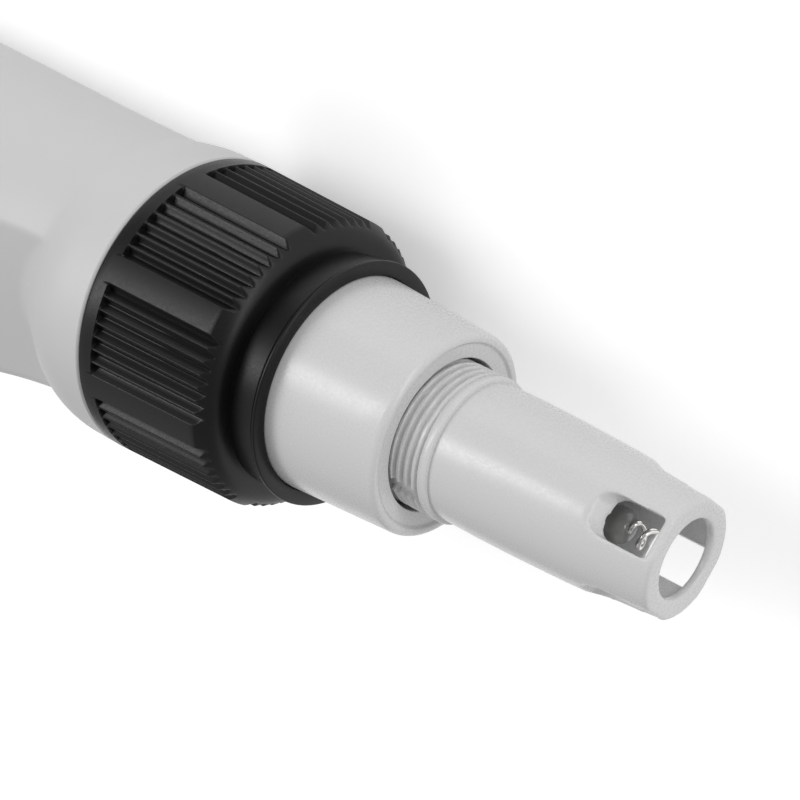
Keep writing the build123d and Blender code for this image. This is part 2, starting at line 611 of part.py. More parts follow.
def sensor_flex():
    """Flat lead from the sensor socket up to the connector under the board."""
    board_end_x = PANEL_X + BOARD_LEN / 2 - FLEX_PLUG_MARGIN
    high_z = BOARD_UNDER_Z - CHIP_THICK / 2
    route = FilletPolyline(
        (board_end_x, 0, high_z),
        (HEAD_X + FLEX_BEND_R, 0, high_z),
        (3 * NECK_X, 0, FLEX_LOW_Z),
        (SOCKET_BACK_X, 0, FLEX_LOW_Z),
        radius=FLEX_BEND_R,
    )
    start = Plane(origin=(board_end_x, 0, high_z), x_dir=(0, 1, 0), z_dir=(1, 0, 0))
    return sweep(start * Rectangle(FLEX_WIDTH, FLEX_THICK), path=route)


def pin_places():
    """Pins stand on a circle, one of them under the key."""
    return [(PIN_CIRCLE_R * cos(radians(45 + k * 360 / PIN_COUNT)),
             PIN_CIRCLE_R * sin(radians(45 + k * 360 / PIN_COUNT))) for k in range(PIN_COUNT)]


def connector_socket():
    """Socket in the housing end: seating disc, rear boss, keyed shroud and pin holes."""
    body = along_x(0, SOCKET_FRONT_X, SPIGOT_BORE_R - RUN_CLEAR)
    body = body + along_x(SOCKET_BACK_X, 0, CABLE_BORE_R - RUN_CLEAR)
    body = body + ring_x(SOCKET_FRONT_X, SHROUD_END_X, SHROUD_INNER_R + SHROUD_WALL, SHROUD_INNER_R)
    slot_len = SHROUD_END_X - SOCKET_FRONT_X
    slot = Box(slot_len + 2, KEY_WIDTH + 2 * LOOSE_CLEAR, 2 * SHROUD_WALL)
    body = body - Pos(SOCKET_FRONT_X + slot_len / 2 + 1, 0, SHROUD_INNER_R + SHROUD_WALL / 2) * slot
    for y, z in pin_places():
        body = body - Pos(0, y, z) * along_x(SOCKET_BACK_X + PIN_TAIL_COVER, SOCKET_FRONT_X + 1, PIN_R + BOND_GAP)
    return body


def socket_pins():
    pins = []
    for y, z in pin_places():
        pin = along_x(SOCKET_BACK_X + PIN_TAIL_COVER, PIN_END_X, PIN_R)
        pin = fillet(pin.faces().sort_by(Axis.X)[-1].edges(), PIN_R / 2)
        pins.append(Pos(0, y, z) * pin)
    return pins


def button_cells():
    """Four silver-oxide button cells in a row."""
    cells = []
    for k in range(CELL_COUNT):
        x = CELL_START_X + k * CELL_LEN
        lip_x = x + CELL_LEN - 2 * CELL_CAN_STEP
        can = along_x(x, lip_x, CELL_R)
        cells.append(can + along_x(lip_x, x + CELL_LEN, CELL_R - 3 * CELL_CAN_STEP))
    return cells


def battery_end_contact():
    """Spring-steel disc at the end of the stack with a leg up to the board."""
    disc_x = CELL_START_X + CELL_COUNT * CELL_LEN
    disc = along_x(disc_x, disc_x + CONTACT_THICK, CELL_R - 1)
    leg_x = disc_x + CONTACT_THICK + TUBE_END_WALL + CONTACT_THICK
    stub = Pos((disc_x + leg_x) / 2 + CONTACT_THICK / 2, 0, 0) * Box(
        leg_x - disc_x, CONTACT_LEG_WIDTH, CONTACT_LEG_WIDTH / 2)
    leg = Pos(leg_x, 0, BOARD_UNDER_Z / 2) * Box(CONTACT_THICK, CONTACT_LEG_WIDTH, BOARD_UNDER_Z)
    return disc + stub + leg


def battery_cap():
    """Screw cap with a finger-ribbed edge, a coin slot and a plug with a seal groove."""
    head = along_x(CAP_END_X, HOUSING_END_X - CAP_GAP, CAP_R)
    head = fillet(head.faces().sort_by(Axis.X)[0].edges(), CAP_EDGE_R)
    rib_len = HOUSING_END_X - CAP_GAP - CAP_END_X
    for k in range(CAP_RIBS):
        flute = Pos(CAP_END_X + rib_len / 2, 0, CAP_R + CAP_RIB_DEPTH / 2) * Rot(0, 90, 0) * Cylinder(
            CAP_RIB_DEPTH * 1.6, rib_len + 2)
        head = head - Rot(360 * k / CAP_RIBS, 0, 0) * flute
    slot_reach = Box(2 * COIN_SLOT_DEPTH, COIN_SLOT_LEN, COIN_SLOT_WIDTH)
    head = head - Pos(CAP_END_X, 0, 0) * slot_reach
    plug = along_x(HOUSING_END_X - CAP_GAP, CAP_PLUG_END_X, TUBE_BORE_R - RUN_CLEAR)
    groove = ring_x(CAP_SEAL_X - ORING_R - RUN_CLEAR, CAP_SEAL_X + ORING_R + RUN_CLEAR,
                    TUBE_BORE_R + 1, cap_seal_ring_r() - ORING_R - RUN_CLEAR)
    return head + plug - groove


def cap_seal_ring_r():
    return TUBE_BORE_R - RUN_CLEAR / 2 - ORING_R


def battery_cap_oring():
    return torus_x(CAP_SEAL_X, cap_seal_ring_r(), ORING_R)


def battery_spring():
    """Dished contact spring seated on the inner end of the cap."""
    base_x = CAP_PLUG_END_X
    crown_x = CELL_START_X - RUN_CLEAR
    return turned_polygon([
        (base_x, SPRING_BASE_R), (base_x + CONTACT_THICK, SPRING_BASE_R),
        (base_x + CONTACT_THICK, SPRING_DISH_R), (crown_x, SPRING_CROWN_R), (crown_x, 0),
        (crown_x - CONTACT_THICK, 0), (crown_x - CONTACT_THICK, SPRING_CROWN_R - CONTACT_THICK),
        (base_x, SPRING_DISH_R - CONTACT_THICK),
    ])


def collar_radius(x):
    """Outer radius of the pads, which taper towards the front."""
    return COLLAR_BACK_R + (COLLAR_FRONT_R - COLLAR_BACK_R) * x / COLLAR_RIB_END_X


def groove_cutter():
    """Saw-toothed band that cuts one group of grooves, tapering with the collar."""
    def outline(x):
        scale = collar_radius(x) / COLLAR_BACK_R
        crest = (COLLAR_BACK_R - RIDGE_STEP) * scale
        root = (COLLAR_BACK_R - GROOVE_DEPTH) * scale
        over = COLLAR_BACK_R + 1
        span = COLLAR_GROOVES * GROOVE_PITCH
        points = []
        for k in range(2 * COLLAR_GROOVES + 1):
            angle = radians(-span / 2 + k * GROOVE_PITCH / 2)
            r = root if k % 2 else crest
            points.append((r * sin(angle), r * cos(angle)))
        half = radians(span / 2)
        points = points + [(over * sin(half), over * cos(half)), (0, over / cos(half)),
                           (-over * sin(half), over * cos(half))]
        return Plane.YZ.offset(x) * make_face(Polyline(*points, close=True))
    return loft([outline(COLLAR_BAND_LEN), outline(COLLAR_SHOULDER_X + 1)], ruled=True)


def collar():
    """Twist collar: tapered pads and groove groups, domed shoulder, sleeve and lip."""
    rib_end_r = collar_radius(COLLAR_RIB_END_X)
    dome_start = (COLLAR_RIB_END_X, 0, rib_end_r - COLLAR_PAD_STEP)
    dome_mid_x = COLLAR_RIB_END_X + 0.72 * (COLLAR_SHOULDER_X - COLLAR_RIB_END_X)
    shoulder = (COLLAR_SHOULDER_X, 0, COLLAR_SHOULDER_R)
    sleeve = (COLLAR_SLEEVE_X, 0, COLLAR_SLEEVE_R)
    inner_r = SHELL_R_BACK + RUN_CLEAR
    lip_turn = (COLLAR_LIP_X - COLLAR_SLEEVE_X) / 2
    lines = [
        Line((0, 0, COLLAR_BORE_R), (0, 0, COLLAR_BACK_R)),
        Line((0, 0, COLLAR_BACK_R), (COLLAR_RIB_END_X, 0, rib_end_r)),
        Line((COLLAR_RIB_END_X, 0, rib_end_r), dome_start),
        ThreePointArc(dome_start, (dome_mid_x, 0, COLLAR_DOME_R), shoulder),
        Line(shoulder, sleeve),
        Line(sleeve, (COLLAR_LIP_X - lip_turn, 0, COLLAR_LIP_R)),
        Line((COLLAR_LIP_X - lip_turn, 0, COLLAR_LIP_R), (COLLAR_LIP_X, 0, COLLAR_LIP_R - lip_turn / 2)),
        Line((COLLAR_LIP_X, 0, COLLAR_LIP_R - lip_turn / 2), (COLLAR_LIP_X, 0, inner_r)),
        Line((COLLAR_LIP_X, 0, inner_r), (COLLAR_LEDGE_X, 0, inner_r)),
        Line((COLLAR_LEDGE_X, 0, inner_r), (COLLAR_LEDGE_X, 0, COLLAR_BORE_R)),
        Line((COLLAR_LEDGE_X, 0, COLLAR_BORE_R), (0, 0, COLLAR_BORE_R)),
    ]
    body = turned(lines)
    cutter = groove_cutter()
    pad_step = 360 / COLLAR_PADS
    cutters = [rolled(PAD_ROLL + pad_step * (k + 0.5)) * cutter for k in range(COLLAR_PADS)]
    return body - cutters


def slip_washer():
    """Thin washer that lets the collar turn on the module flange."""
    return ring_x(SHELL_FLANGE_FRONT_X, SHELL_FLANGE_FRONT_X + WASHER_THICK,
                  SHELL_FLANGE_R - RUN_CLEAR, SHELL_R_BACK + RUN_CLEAR)


def module_gasket():
    """Flat ring between the housing spigot and the module flange."""
    return ring_x(SHELL_FLANGE_X - SEAL_THICK, SHELL_FLANGE_X, SHELL_FLANGE_R, SHELL_SPIGOT_R)


def electrode_shell():
    """Tapered body with a plug-in spigot, a flange and a stepped recess in its front face."""
    inner_edge = SHELL_FRONT_X - SHELL_RIM_STEP
    profile = [
        (SHELL_SPIGOT_X, PLUG_FLANGE_R + BOND_GAP), (SHELL_SPIGOT_X, SHELL_SPIGOT_R),
        (SHELL_FLANGE_X, SHELL_SPIGOT_R), (SHELL_FLANGE_X, SHELL_FLANGE_R),
        (SHELL_FLANGE_FRONT_X, SHELL_FLANGE_R), (SHELL_FLANGE_FRONT_X, SHELL_R_BACK),
        (COLLAR_LIP_X, SHELL_R_BACK), (SHELL_FRONT_X, SHELL_R_FRONT), (SHELL_FRONT_X, SHELL_RIM_R),
        (inner_edge, SHELL_RIM_R), (inner_edge, RECESS_R), (RECESS_X, RECESS_R),
        (RECESS_X, SHELL_BORE_R), (PLUG_SEAT_X, SHELL_BORE_R), (PLUG_SEAT_X, PLUG_FLANGE_R + BOND_GAP),
    ]
    shell = turned_polygon(profile)
    front_edge = shell.edges().filter_by(GeomType.CIRCLE).filter_by(
        lambda e: abs(e.radius - SHELL_R_FRONT) < 1e-6)
    shell = fillet(front_edge, SHELL_EDGE_R)
    groove_floor = shell_seal_ring_r() - ORING_R
    return shell - ring_x(shell_seal_x() - ORING_R, shell_seal_x() + ORING_R, SHELL_SPIGOT_R + 1, groove_floor)


def shell_seal_x():
    return (SHELL_SPIGOT_X + SHELL_FLANGE_X) / 2


def shell_seal_ring_r():
    return SPIGOT_BORE_R - RUN_CLEAR / 2 - ORING_R


def shell_oring():
    return torus_x(shell_seal_x(), shell_seal_ring_r(), ORING_R)


def electrode_plug():
    """Keyed plug on the back of the module with a hole for each pin."""
    nose_r = SHROUD_INNER_R - LOOSE_CLEAR
    back_x = SOCKET_FRONT_X + LOOSE_CLEAR + RUN_CLEAR
    flange_x = PLUG_SEAT_X - PLUG_FLANGE_THICK
    body = along_x(back_x, flange_x, nose_r) + along_x(flange_x, PLUG_SEAT_X, PLUG_FLANGE_R)
    key_height = SHROUD_WALL
    key = Box(flange_x - back_x, KEY_WIDTH, 2 * key_height)
    body = body + Pos((back_x + flange_x) / 2, 0, nose_r) * key
    for y, z in pin_places():
        body = body - Pos(0, y, z) * along_x(back_x - 1, PIN_END_X + 2 * LOOSE_CLEAR, PIN_R + LOOSE_CLEAR)
        body = body - Pos(0, y, z) * along_x(PIN_END_X, PLUG_SEAT_X + 1, PIN_R - BOND_GAP)
    return body


def plug_contacts():
    """Contact tails that run from the pin holes through the plug."""
    contacts = []
    for y, z in pin_places():
        tail = along_x(PIN_END_X + 2 * LOOSE_CLEAR, PLUG_SEAT_X + 1.5, PIN_R - 2 * BOND_GAP)
        contacts.append(Pos(0, y, z) * tail)
    return contacts


def barrel_seal_x():
    return RECESS_X - BARREL_SEAL_BACK


def sensor_barrel():
    """Inner barrel: body in the shell, neck for the storage cap and spigot for the guard."""
    spigot_end = BARREL_END_X + BARREL_SPIGOT_LEN
    neck_start = SHELL_FRONT_X + BOND_GAP
    profile = [
        (BARREL_BACK_X, BARREL_BORE_R), (BARREL_BACK_X, SHELL_BORE_R - BOND_GAP),
        (neck_start, SHELL_BORE_R - BOND_GAP), (neck_start, NECK_THREAD_R), (BARREL_END_X, NECK_THREAD_R),
        (BARREL_END_X, BARREL_SPIGOT_R), (spigot_end, BARREL_SPIGOT_R), (spigot_end, HOLDER_R),
        (spigot_end - HOLDER_LEN, HOLDER_R), (spigot_end - HOLDER_LEN, BARREL_BORE_R),
    ]
    barrel = turned_polygon(profile)
    floor_r = barrel_seal_ring_r() - ORING_R
    return barrel - ring_x(barrel_seal_x() - ORING_R, barrel_seal_x() + ORING_R, SHELL_BORE_R + 1, floor_r)


def barrel_seal_ring_r():
    return SHELL_BORE_R - ORING_R


def barrel_seal():
    return torus_x(barrel_seal_x(), barrel_seal_ring_r(), ORING_R)


def electrode_guard():
    """Tapered guard tube with four slots, an end ring and an open end."""
    seat_end = BARREL_END_X + BARREL_SPIGOT_LEN + BOND_GAP
    shoulder = (GUARD_MID_X, 0, GUARD_MID_R)
    lines = [
        Line((BARREL_END_X, 0, BARREL_SPIGOT_R + BOND_GAP), (BARREL_END_X, 0, GUARD_BACK_R)),
        Line((BARREL_END_X, 0, GUARD_BACK_R), shoulder),
        ThreePointArc(shoulder, (GUARD_TAPER_X, 0, GUARD_TAPER_R), (TIP_X, 0, GUARD_END_R)),
        Line((TIP_X, 0, GUARD_END_R), (TIP_X, 0, GUARD_HOLE_R)),
        Line((TIP_X, 0, GUARD_HOLE_R), (GUARD_RING_X, 0, GUARD_HOLE_R)),
        Line((GUARD_RING_X, 0, GUARD_HOLE_R), (GUARD_RING_X, 0, GUARD_BORE_R)),
        Line((GUARD_RING_X, 0, GUARD_BORE_R), (seat_end, 0, GUARD_BORE_R)),
        Line((seat_end, 0, GUARD_BORE_R), (seat_end, 0, BARREL_SPIGOT_R + BOND_GAP)),
        Line((seat_end, 0, BARREL_SPIGOT_R + BOND_GAP), (BARREL_END_X, 0, BARREL_SPIGOT_R + BOND_GAP)),
    ]
    guard = turned(lines)
    tip_edge = guard.edges().filter_by(GeomType.CIRCLE).filter_by(
        lambda e: abs(e.radius - GUARD_END_R) < 1e-6)
    guard = fillet(tip_edge, GUARD_EDGE_R)
    slot = guard_slot()
    slots = [rolled(SLOT_ROLL + 360 * k / SLOT_COUNT) * slot for k in range(SLOT_COUNT)]
    return guard - slots


def guard_slot():
    """Slot cutter: rounded back corners, scooped back ramp and a shallow channel over the ring."""
    reach = GUARD_BACK_R + 1
    deep = GUARD_HOLE_R - 1
    side = Polyline((SLOT_BACK_X - 1, 0, reach), (SLOT_BACK_X, 0, GUARD_TAPER_R),
                    (SLOT_BACK_INNER_X, 0, GUARD_BORE_R), (SLOT_BACK_INNER_X, 0, deep),
                    (GUARD_RING_X, 0, deep), (GUARD_RING_X, 0, GUARD_RING_R),
                    (TIP_X + 1, 0, GUARD_RING_R), (TIP_X + 1, 0, reach), close=True)
    profile = extrude(make_face(side), amount=SLOT_WIDTH, both=True)
    length = TIP_X + 1 - SLOT_BACK_X + SLOT_CORNER_R
    window = Pos(SLOT_BACK_X - SLOT_CORNER_R / 4 + length / 2, 0, reach / 2) * Box(length, SLOT_WIDTH, reach + 2)
    back_edges = window.edges().filter_by(Axis.Z).group_by(Axis.X)[0]
    window = fillet(back_edges, SLOT_CORNER_R)
    return profile & window


def stem_holder():
    """Plug that centres the glass stem in the barrel."""
    end = BARREL_END_X + BARREL_SPIGOT_LEN
    holder = ring_x(end - HOLDER_LEN, end, HOLDER_R - BOND_GAP, STEM_R + BOND_GAP)
    wire_hole = Pos(0, 0, -reference_wire_z()) * along_x(end - HOLDER_LEN - 1, end + 1, LEAD_R + BOND_GAP)
    return holder - wire_hole


def reference_wire_z():
    return (STEM_R + HOLDER_R) / 2


def reference_junction():
    """Porous ring round the stem in front of the holder."""
    start = BARREL_END_X + BARREL_SPIGOT_LEN + BOND_GAP
    return ring_x(start, start + JUNCTION_THICK, GUARD_BORE_R - BOND_GAP, STEM_R + BOND_GAP)


def reference_wire():
    end = BARREL_END_X + BARREL_SPIGOT_LEN
    return Pos(0, 0, -reference_wire_z()) * along_x(PLUG_SEAT_X + LEAD_GAP, end - LEAD_R, LEAD_R)


def glass_stem():
    """Glass tube with a closed round tip."""
    outer = along_x(STEM_BACK_X, STEM_TIP_X, STEM_R)
    outer = fillet(outer.faces().sort_by(Axis.X)[-1].edges(), STEM_R * 0.6)
    bore = along_x(STEM_BACK_X - 1, STEM_TIP_X - 2 * STEM_WALL, STEM_R - STEM_WALL)
    lead_hole = along_x(STEM_TIP_X - 3 * STEM_WALL, STEM_TIP_X + 1, PLATINUM_WIRE_R)
    return outer - bore - Pos(0, 0, PLATINUM_LOOP_R) * lead_hole


def stem_lead():
    return along_x(PLUG_SEAT_X + LEAD_GAP, STEM_TIP_X - 2 * STEM_WALL - 1.5, LEAD_R)


def platinum_wire():
    """Platinum wire through the glass tip, ending in a loop round the axis."""
    start = STEM_TIP_X - 2 * STEM_WALL - 1.5
    post = Pos(0, 0, PLATINUM_LOOP_R) * along_x(start, PLATINUM_X, PLATINUM_WIRE_R - BOND_GAP)
    loop = Rot(30, 0, 0) * torus_x(PLATINUM_X, PLATINUM_LOOP_R, PLATINUM_WIRE_R)
    return post + loop


PIECES = {
    "housing": housing,
    "front_panel": front_panel,
    "panel_gasket": panel_gasket,
    "display_window": display_window,
    "lcd_glass": lcd_glass,
    "lcd_frame": lcd_frame,
    "zebra_strips": zebra_strips,
    "main_board": main_board,
    "board_screws": board_screws,
    "controller_chip": controller_chip,
    "board_components": board_components,
    "tact_switches": tact_switches,
    "keypad_mat": keypad_mat,
    "power_button": lambda: key_button(key_rows()[0]),
    "mode_button": lambda: key_button(key_rows()[1]),
    "cal_button": lambda: key_button(key_rows()[2]),
    "flex_connector": flex_connector,
    "sensor_flex": sensor_flex,
    "connector_socket": connector_socket,
    "socket_pins": socket_pins,
    "button_cells": button_cells,
    "battery_end_contact": battery_end_contact,
    "battery_cap": battery_cap,
    "battery_cap_oring": battery_cap_oring,
    "battery_spring": battery_spring,
    "collar": collar,
    "slip_washer": slip_washer,
    "module_gasket": module_gasket,
    "electrode_shell": electrode_shell,
    "shell_oring": shell_oring,
    "electrode_plug": electrode_plug,
    "plug_contacts": plug_contacts,
    "sensor_barrel": sensor_barrel,
    "barrel_seal": barrel_seal,
    "electrode_guard": electrode_guard,
    "stem_holder": stem_holder,
    "reference_junction": reference_junction,
    "reference_wire": reference_wire,
    "glass_stem": glass_stem,
    "stem_lead": stem_lead,
    "platinum_wire": platinum_wire,
}

for name, build in PIECES.items():
    shape = build()
    if isinstance(shape, list):
        shape = Compound(children=[PLACE * piece for piece in shape])
    else:
        shape = PLACE * shape
    export_step(shape, f"parts/{name}.step")
    print(name, round(shape.volume, 1), len(shape.solids()))
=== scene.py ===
import json
from math import cos, hypot, pi, radians, sin, tan

import bpy
import numpy as np
from bpy.props import FloatProperty, FloatVectorProperty, IntProperty, PointerProperty
from mathutils import Matrix, Vector


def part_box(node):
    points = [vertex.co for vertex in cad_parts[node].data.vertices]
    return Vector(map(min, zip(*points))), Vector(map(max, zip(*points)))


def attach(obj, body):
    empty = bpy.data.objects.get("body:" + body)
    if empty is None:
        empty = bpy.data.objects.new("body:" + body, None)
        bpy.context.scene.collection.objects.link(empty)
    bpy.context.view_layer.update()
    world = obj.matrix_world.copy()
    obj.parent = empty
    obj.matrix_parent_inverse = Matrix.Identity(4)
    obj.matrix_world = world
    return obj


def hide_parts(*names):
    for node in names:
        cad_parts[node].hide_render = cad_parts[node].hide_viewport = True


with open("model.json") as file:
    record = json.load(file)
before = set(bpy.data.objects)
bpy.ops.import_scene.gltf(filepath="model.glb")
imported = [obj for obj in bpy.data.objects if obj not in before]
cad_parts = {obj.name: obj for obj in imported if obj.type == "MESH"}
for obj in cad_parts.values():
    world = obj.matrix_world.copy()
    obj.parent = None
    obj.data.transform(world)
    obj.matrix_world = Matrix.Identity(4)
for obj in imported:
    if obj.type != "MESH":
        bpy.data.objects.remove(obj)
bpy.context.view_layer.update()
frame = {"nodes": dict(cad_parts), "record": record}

bl_info = {
    "name": "Water quality meter",
    "version": (1, 0, 0),
    "blender": (4, 5, 0),
    "location": "View3D > Sidebar > Water meter",
    "description": "Models and finishes a pen-type water quality meter round its CAD solids",
    "category": "Add Mesh",
}

MM = 0.001
MERGE = 0.002 * MM
NODES = frame["nodes"]
SLOTS = {part["node"]: part["material_slot"] for part in frame["record"]["subparts"]}
FINISH = {}

# The meter's long axis runs along X. Stations are millimetres in front of the collar's back
# edge, and rolls are degrees round the axis, 0 facing the side that the camera sees.
COLLAR_LOW, COLLAR_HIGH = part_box("collar")
JOINT_X = COLLAR_LOW.x
AXIS_Z = (COLLAR_LOW.z + COLLAR_HIGH.z) / 2
ROLL_ZERO = 47.0

# Sections of the housing, in millimetres
NECK_X, HEAD_X, END_X = -10.0, -56.0, -99.0
NECK_HALF, HEAD_HALF = 16.9, 17.8
NECK_BACK, HEAD_BACK = 16.9, 18.3
NECK_FLAT, HEAD_FLAT = 11.3, 22.3
NECK_FLAT_HALF, HEAD_FLAT_HALF = 10.7, 13.5
FLANGE_R, FLANGE_LEN, FLANGE_ARC_R, FLANGE_SWEEP = 17.65, 3.5, 12.0, 35.0
FLANGE_ROOT = (-16.0, 11.6)

# Collar
COLLAR_R, COLLAR_FRONT_R, RIB_END_X = 17.67, 16.9, 17.15
PADS, GROOVES, GROOVE_PITCH, PAD_ROLL = 8, 7, 5.03, 1.0
PAD_STEPS, GROOVE_STEPS = 12, 10


# Hex colour and mesh helpers

def linear(hex_colour):
    """Linear RGBA of an sRGB hex colour."""
    parts = [int(hex_colour[i:i + 2], 16) / 255 for i in (0, 2, 4)]
    lit = [c / 12.92 if c <= 0.04045 else ((c + 0.055) / 1.055) ** 2.4 for c in parts]
    return (*lit, 1.0)


def place(station, radius=0.0):
    """Point above the axis, from millimetres."""
    return Vector((JOINT_X + station * MM, 0, AXIS_Z + radius * MM))


def deselect():
    if bpy.context.object and bpy.context.object.mode != "OBJECT":
        bpy.ops.object.mode_set(mode="OBJECT")
    bpy.ops.object.select_all(action="DESELECT")


def only(piece):
    deselect()
    piece.select_set(True)
    bpy.context.view_layer.objects.active = piece


def named(name):
    piece = bpy.context.object
    piece.name = piece.data.name = name
    return piece


def tidy_mesh():
    """In edit mode: close the seams and turn all faces outwards."""
    bpy.ops.mesh.select_all(action="SELECT")
    bpy.ops.mesh.remove_doubles(threshold=MERGE)
    bpy.ops.mesh.normals_make_consistent(inside=False)
    bpy.ops.object.mode_set(mode="OBJECT")
    bpy.ops.object.transform_apply(location=True, rotation=True, scale=True)


def with_fillets(corners, closed=True, segments=4):
    """Outline points from corners (station, radius, fillet); a corner may leave out its fillet."""
    points = []
    last = len(corners) - 1
    for i, corner in enumerate(corners):
        here = Vector(corner[:2])
        fillet = corner[2] if len(corner) > 2 else 0
        if not fillet or (not closed and i in (0, last)):
            points.append(tuple(here))
            continue
        back = (Vector(corners[i - 1][:2]) - here).normalized()
        ahead = (Vector(corners[(i + 1) % len(corners)][:2]) - here).normalized()
        half = back.angle(ahead) / 2
        centre = here + (back + ahead).normalized() * (fillet / sin(half))
        start = here + back * (fillet / tan(half)) - centre
        end = here + ahead * (fillet / tan(half)) - centre
        for k in range(segments + 1):
            step = start.lerp(end, k / segments).normalized() * fillet
            points.append(tuple(centre + step))
    return points


def draw_outline(outline, closed=True):
    """In the new plane's mesh: shrink it to a point and draw it along the outline."""
    bpy.ops.object.mode_set(mode="EDIT")
    bpy.ops.mesh.select_mode(type="VERT")
    bpy.ops.mesh.select_all(action="SELECT")
    bpy.ops.mesh.merge(type="CENTER")
    path = list(outline) + ([outline[0]] if closed else [])
    for here, there in zip(path, path[1:]):
        bpy.ops.mesh.extrude_region_move(
            TRANSFORM_OT_translate={"value": place(*there) - place(*here)})
    bpy.ops.mesh.select_all(action="SELECT")
    bpy.ops.mesh.remove_doubles(threshold=MERGE)
    bpy.ops.mesh.select_all(action="SELECT")


def spun(name, outline, steps, closed=True):
    """Draw an outline of (station, radius) point by point and spin it round the axis."""
    deselect()
    bpy.ops.mesh.primitive_plane_add(size=MM, location=place(*outline[0]))
    piece = named(name)
    draw_outline(outline, closed)
    bpy.ops.mesh.spin(steps=steps, angle=2 * pi, center=(0, 0, AXIS_Z), axis=(1, 0, 0))
    tidy_mesh()
    return piece


def reshaped(piece, form):
    """Move each vertex as form(station, radius, roll) says, in millimetres and degrees."""
    flat = np.empty(len(piece.data.vertices) * 3)
    piece.data.vertices.foreach_get("co", flat)
    co = flat.reshape(-1, 3)
    y, z = co[:, 1] / MM, (co[:, 2] - AXIS_Z) / MM
    radius = np.hypot(y, z)
    roll = ROLL_ZERO - np.degrees(np.arctan2(y, z))
    station, radius, roll = form((co[:, 0] - JOINT_X) / MM, radius, roll)
    turn = np.radians(ROLL_ZERO - roll)
    co[:, 0] = JOINT_X + station * MM
    co[:, 1] = radius * np.sin(turn) * MM
    co[:, 2] = AXIS_Z + radius * np.cos(turn) * MM
    piece.data.vertices.foreach_set("co", co.ravel())
    piece.data.update()


def soft_min(a, b, blend):
    """Smaller of two radii, with the corner between them rounded over the blend."""
    share = np.clip(0.5 + 0.5 * (b - a) / blend, 0, 1)
    return b + (a - b) * share - blend * share * (1 - share)


def soft_max(a, b, blend):
    return -soft_min(-a, -b, blend)


def pick(piece, test, mode="EDGE"):
    """Go to edit mode with only the edges or faces that pass the test selected."""
    only(piece)
    bpy.ops.object.mode_set(mode="EDIT")
    bpy.ops.mesh.select_mode(type=mode)
    bpy.ops.mesh.select_all(action="DESELECT")
    bpy.ops.object.mode_set(mode="OBJECT")
    mesh = piece.data
    if mode == "FACE":
        for face in mesh.polygons:
            face.select = test(face)
    else:
        for edge in mesh.edges:
            edge.select = test(*(mesh.vertices[i].co for i in edge.vertices))
    bpy.ops.object.mode_set(mode="EDIT")


def plate(name, low, high, corner=0.0, segments=6):
    """Block between two corners in millimetres from the axis, its upright edges rounded."""
    deselect()
    low, high = Vector(low), Vector(high)
    middle, size = (low + high) / 2, high - low
    bpy.ops.mesh.primitive_cube_add(size=1, location=(
        JOINT_X + middle.x * MM, middle.y * MM, AXIS_Z + middle.z * MM))
    piece = named(name)
    piece.scale = size * MM
    bpy.ops.object.transform_apply(location=True, rotation=True, scale=True)
    if corner:
        pick(piece, lambda a, b: abs(a.z - b.z) > size.z * MM / 2)
        bpy.ops.mesh.bevel(offset=corner * MM, segments=segments)
        bpy.ops.object.mode_set(mode="OBJECT")
    return piece


def cut(piece, cutter):
    """Take the cutter's shape out of the piece, and the cutter away."""
    only(piece)
    opening = piece.modifiers.new("opening", "BOOLEAN")
    opening.operation = "DIFFERENCE"
    opening.solver = "EXACT"
    opening.object = cutter
    bpy.ops.object.modifier_apply(modifier=opening.name)
    bpy.data.objects.remove(cutter)


def bevelled(piece, width, segments=3, angle=35):
    """Round every edge sharper than the angle."""
    only(piece)
    edge = piece.modifiers.new("edges", "BEVEL")
    edge.width = width * MM
    edge.segments = segments
    edge.limit_method = "ANGLE"
    edge.angle_limit = radians(angle)
    edge.use_clamp_overlap = False
    bpy.ops.object.modifier_apply(modifier=edge.name)


def joined(name, parts):
    deselect()
    for part in parts:
        part.select_set(True)
    bpy.context.view_layer.objects.active = parts[0]
    bpy.ops.object.join()
    return named(name)


def copied(piece, name, offset):
    """Copy with its own mesh, moved by millimetres."""
    twin = piece.copy()
    twin.data = piece.data.copy()
    twin.name = twin.data.name = name
    twin.data.transform(Matrix.Translation(Vector(offset) * MM))
    bpy.context.scene.collection.objects.link(twin)
    return twin


def finished(piece, slot, body, replaced=(), smooth=35, finish=None):
    """Smooth the faces, give the slot's material and fasten the piece to its CAD body."""
    only(piece)
    bpy.ops.object.shade_smooth_by_angle(angle=radians(smooth))
    piece.data.materials.clear()
    piece.data.materials.append(FINISH[finish or slot])
    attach(piece, body)
    if replaced:
        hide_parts(*replaced)
    return piece


# Materials

def add_node(tree, kind, inputs=None, **settings):
    """Add a node with its settings, its numbers and its links."""
    node = tree.nodes.new(kind)
    for key, value in settings.items():
        setattr(node, key, value)
    for key, value in (inputs or {}).items():
        if isinstance(value, bpy.types.NodeSocket):
            tree.links.new(value, node.inputs[key])
        else:
            node.inputs[key].default_value = value
    return node


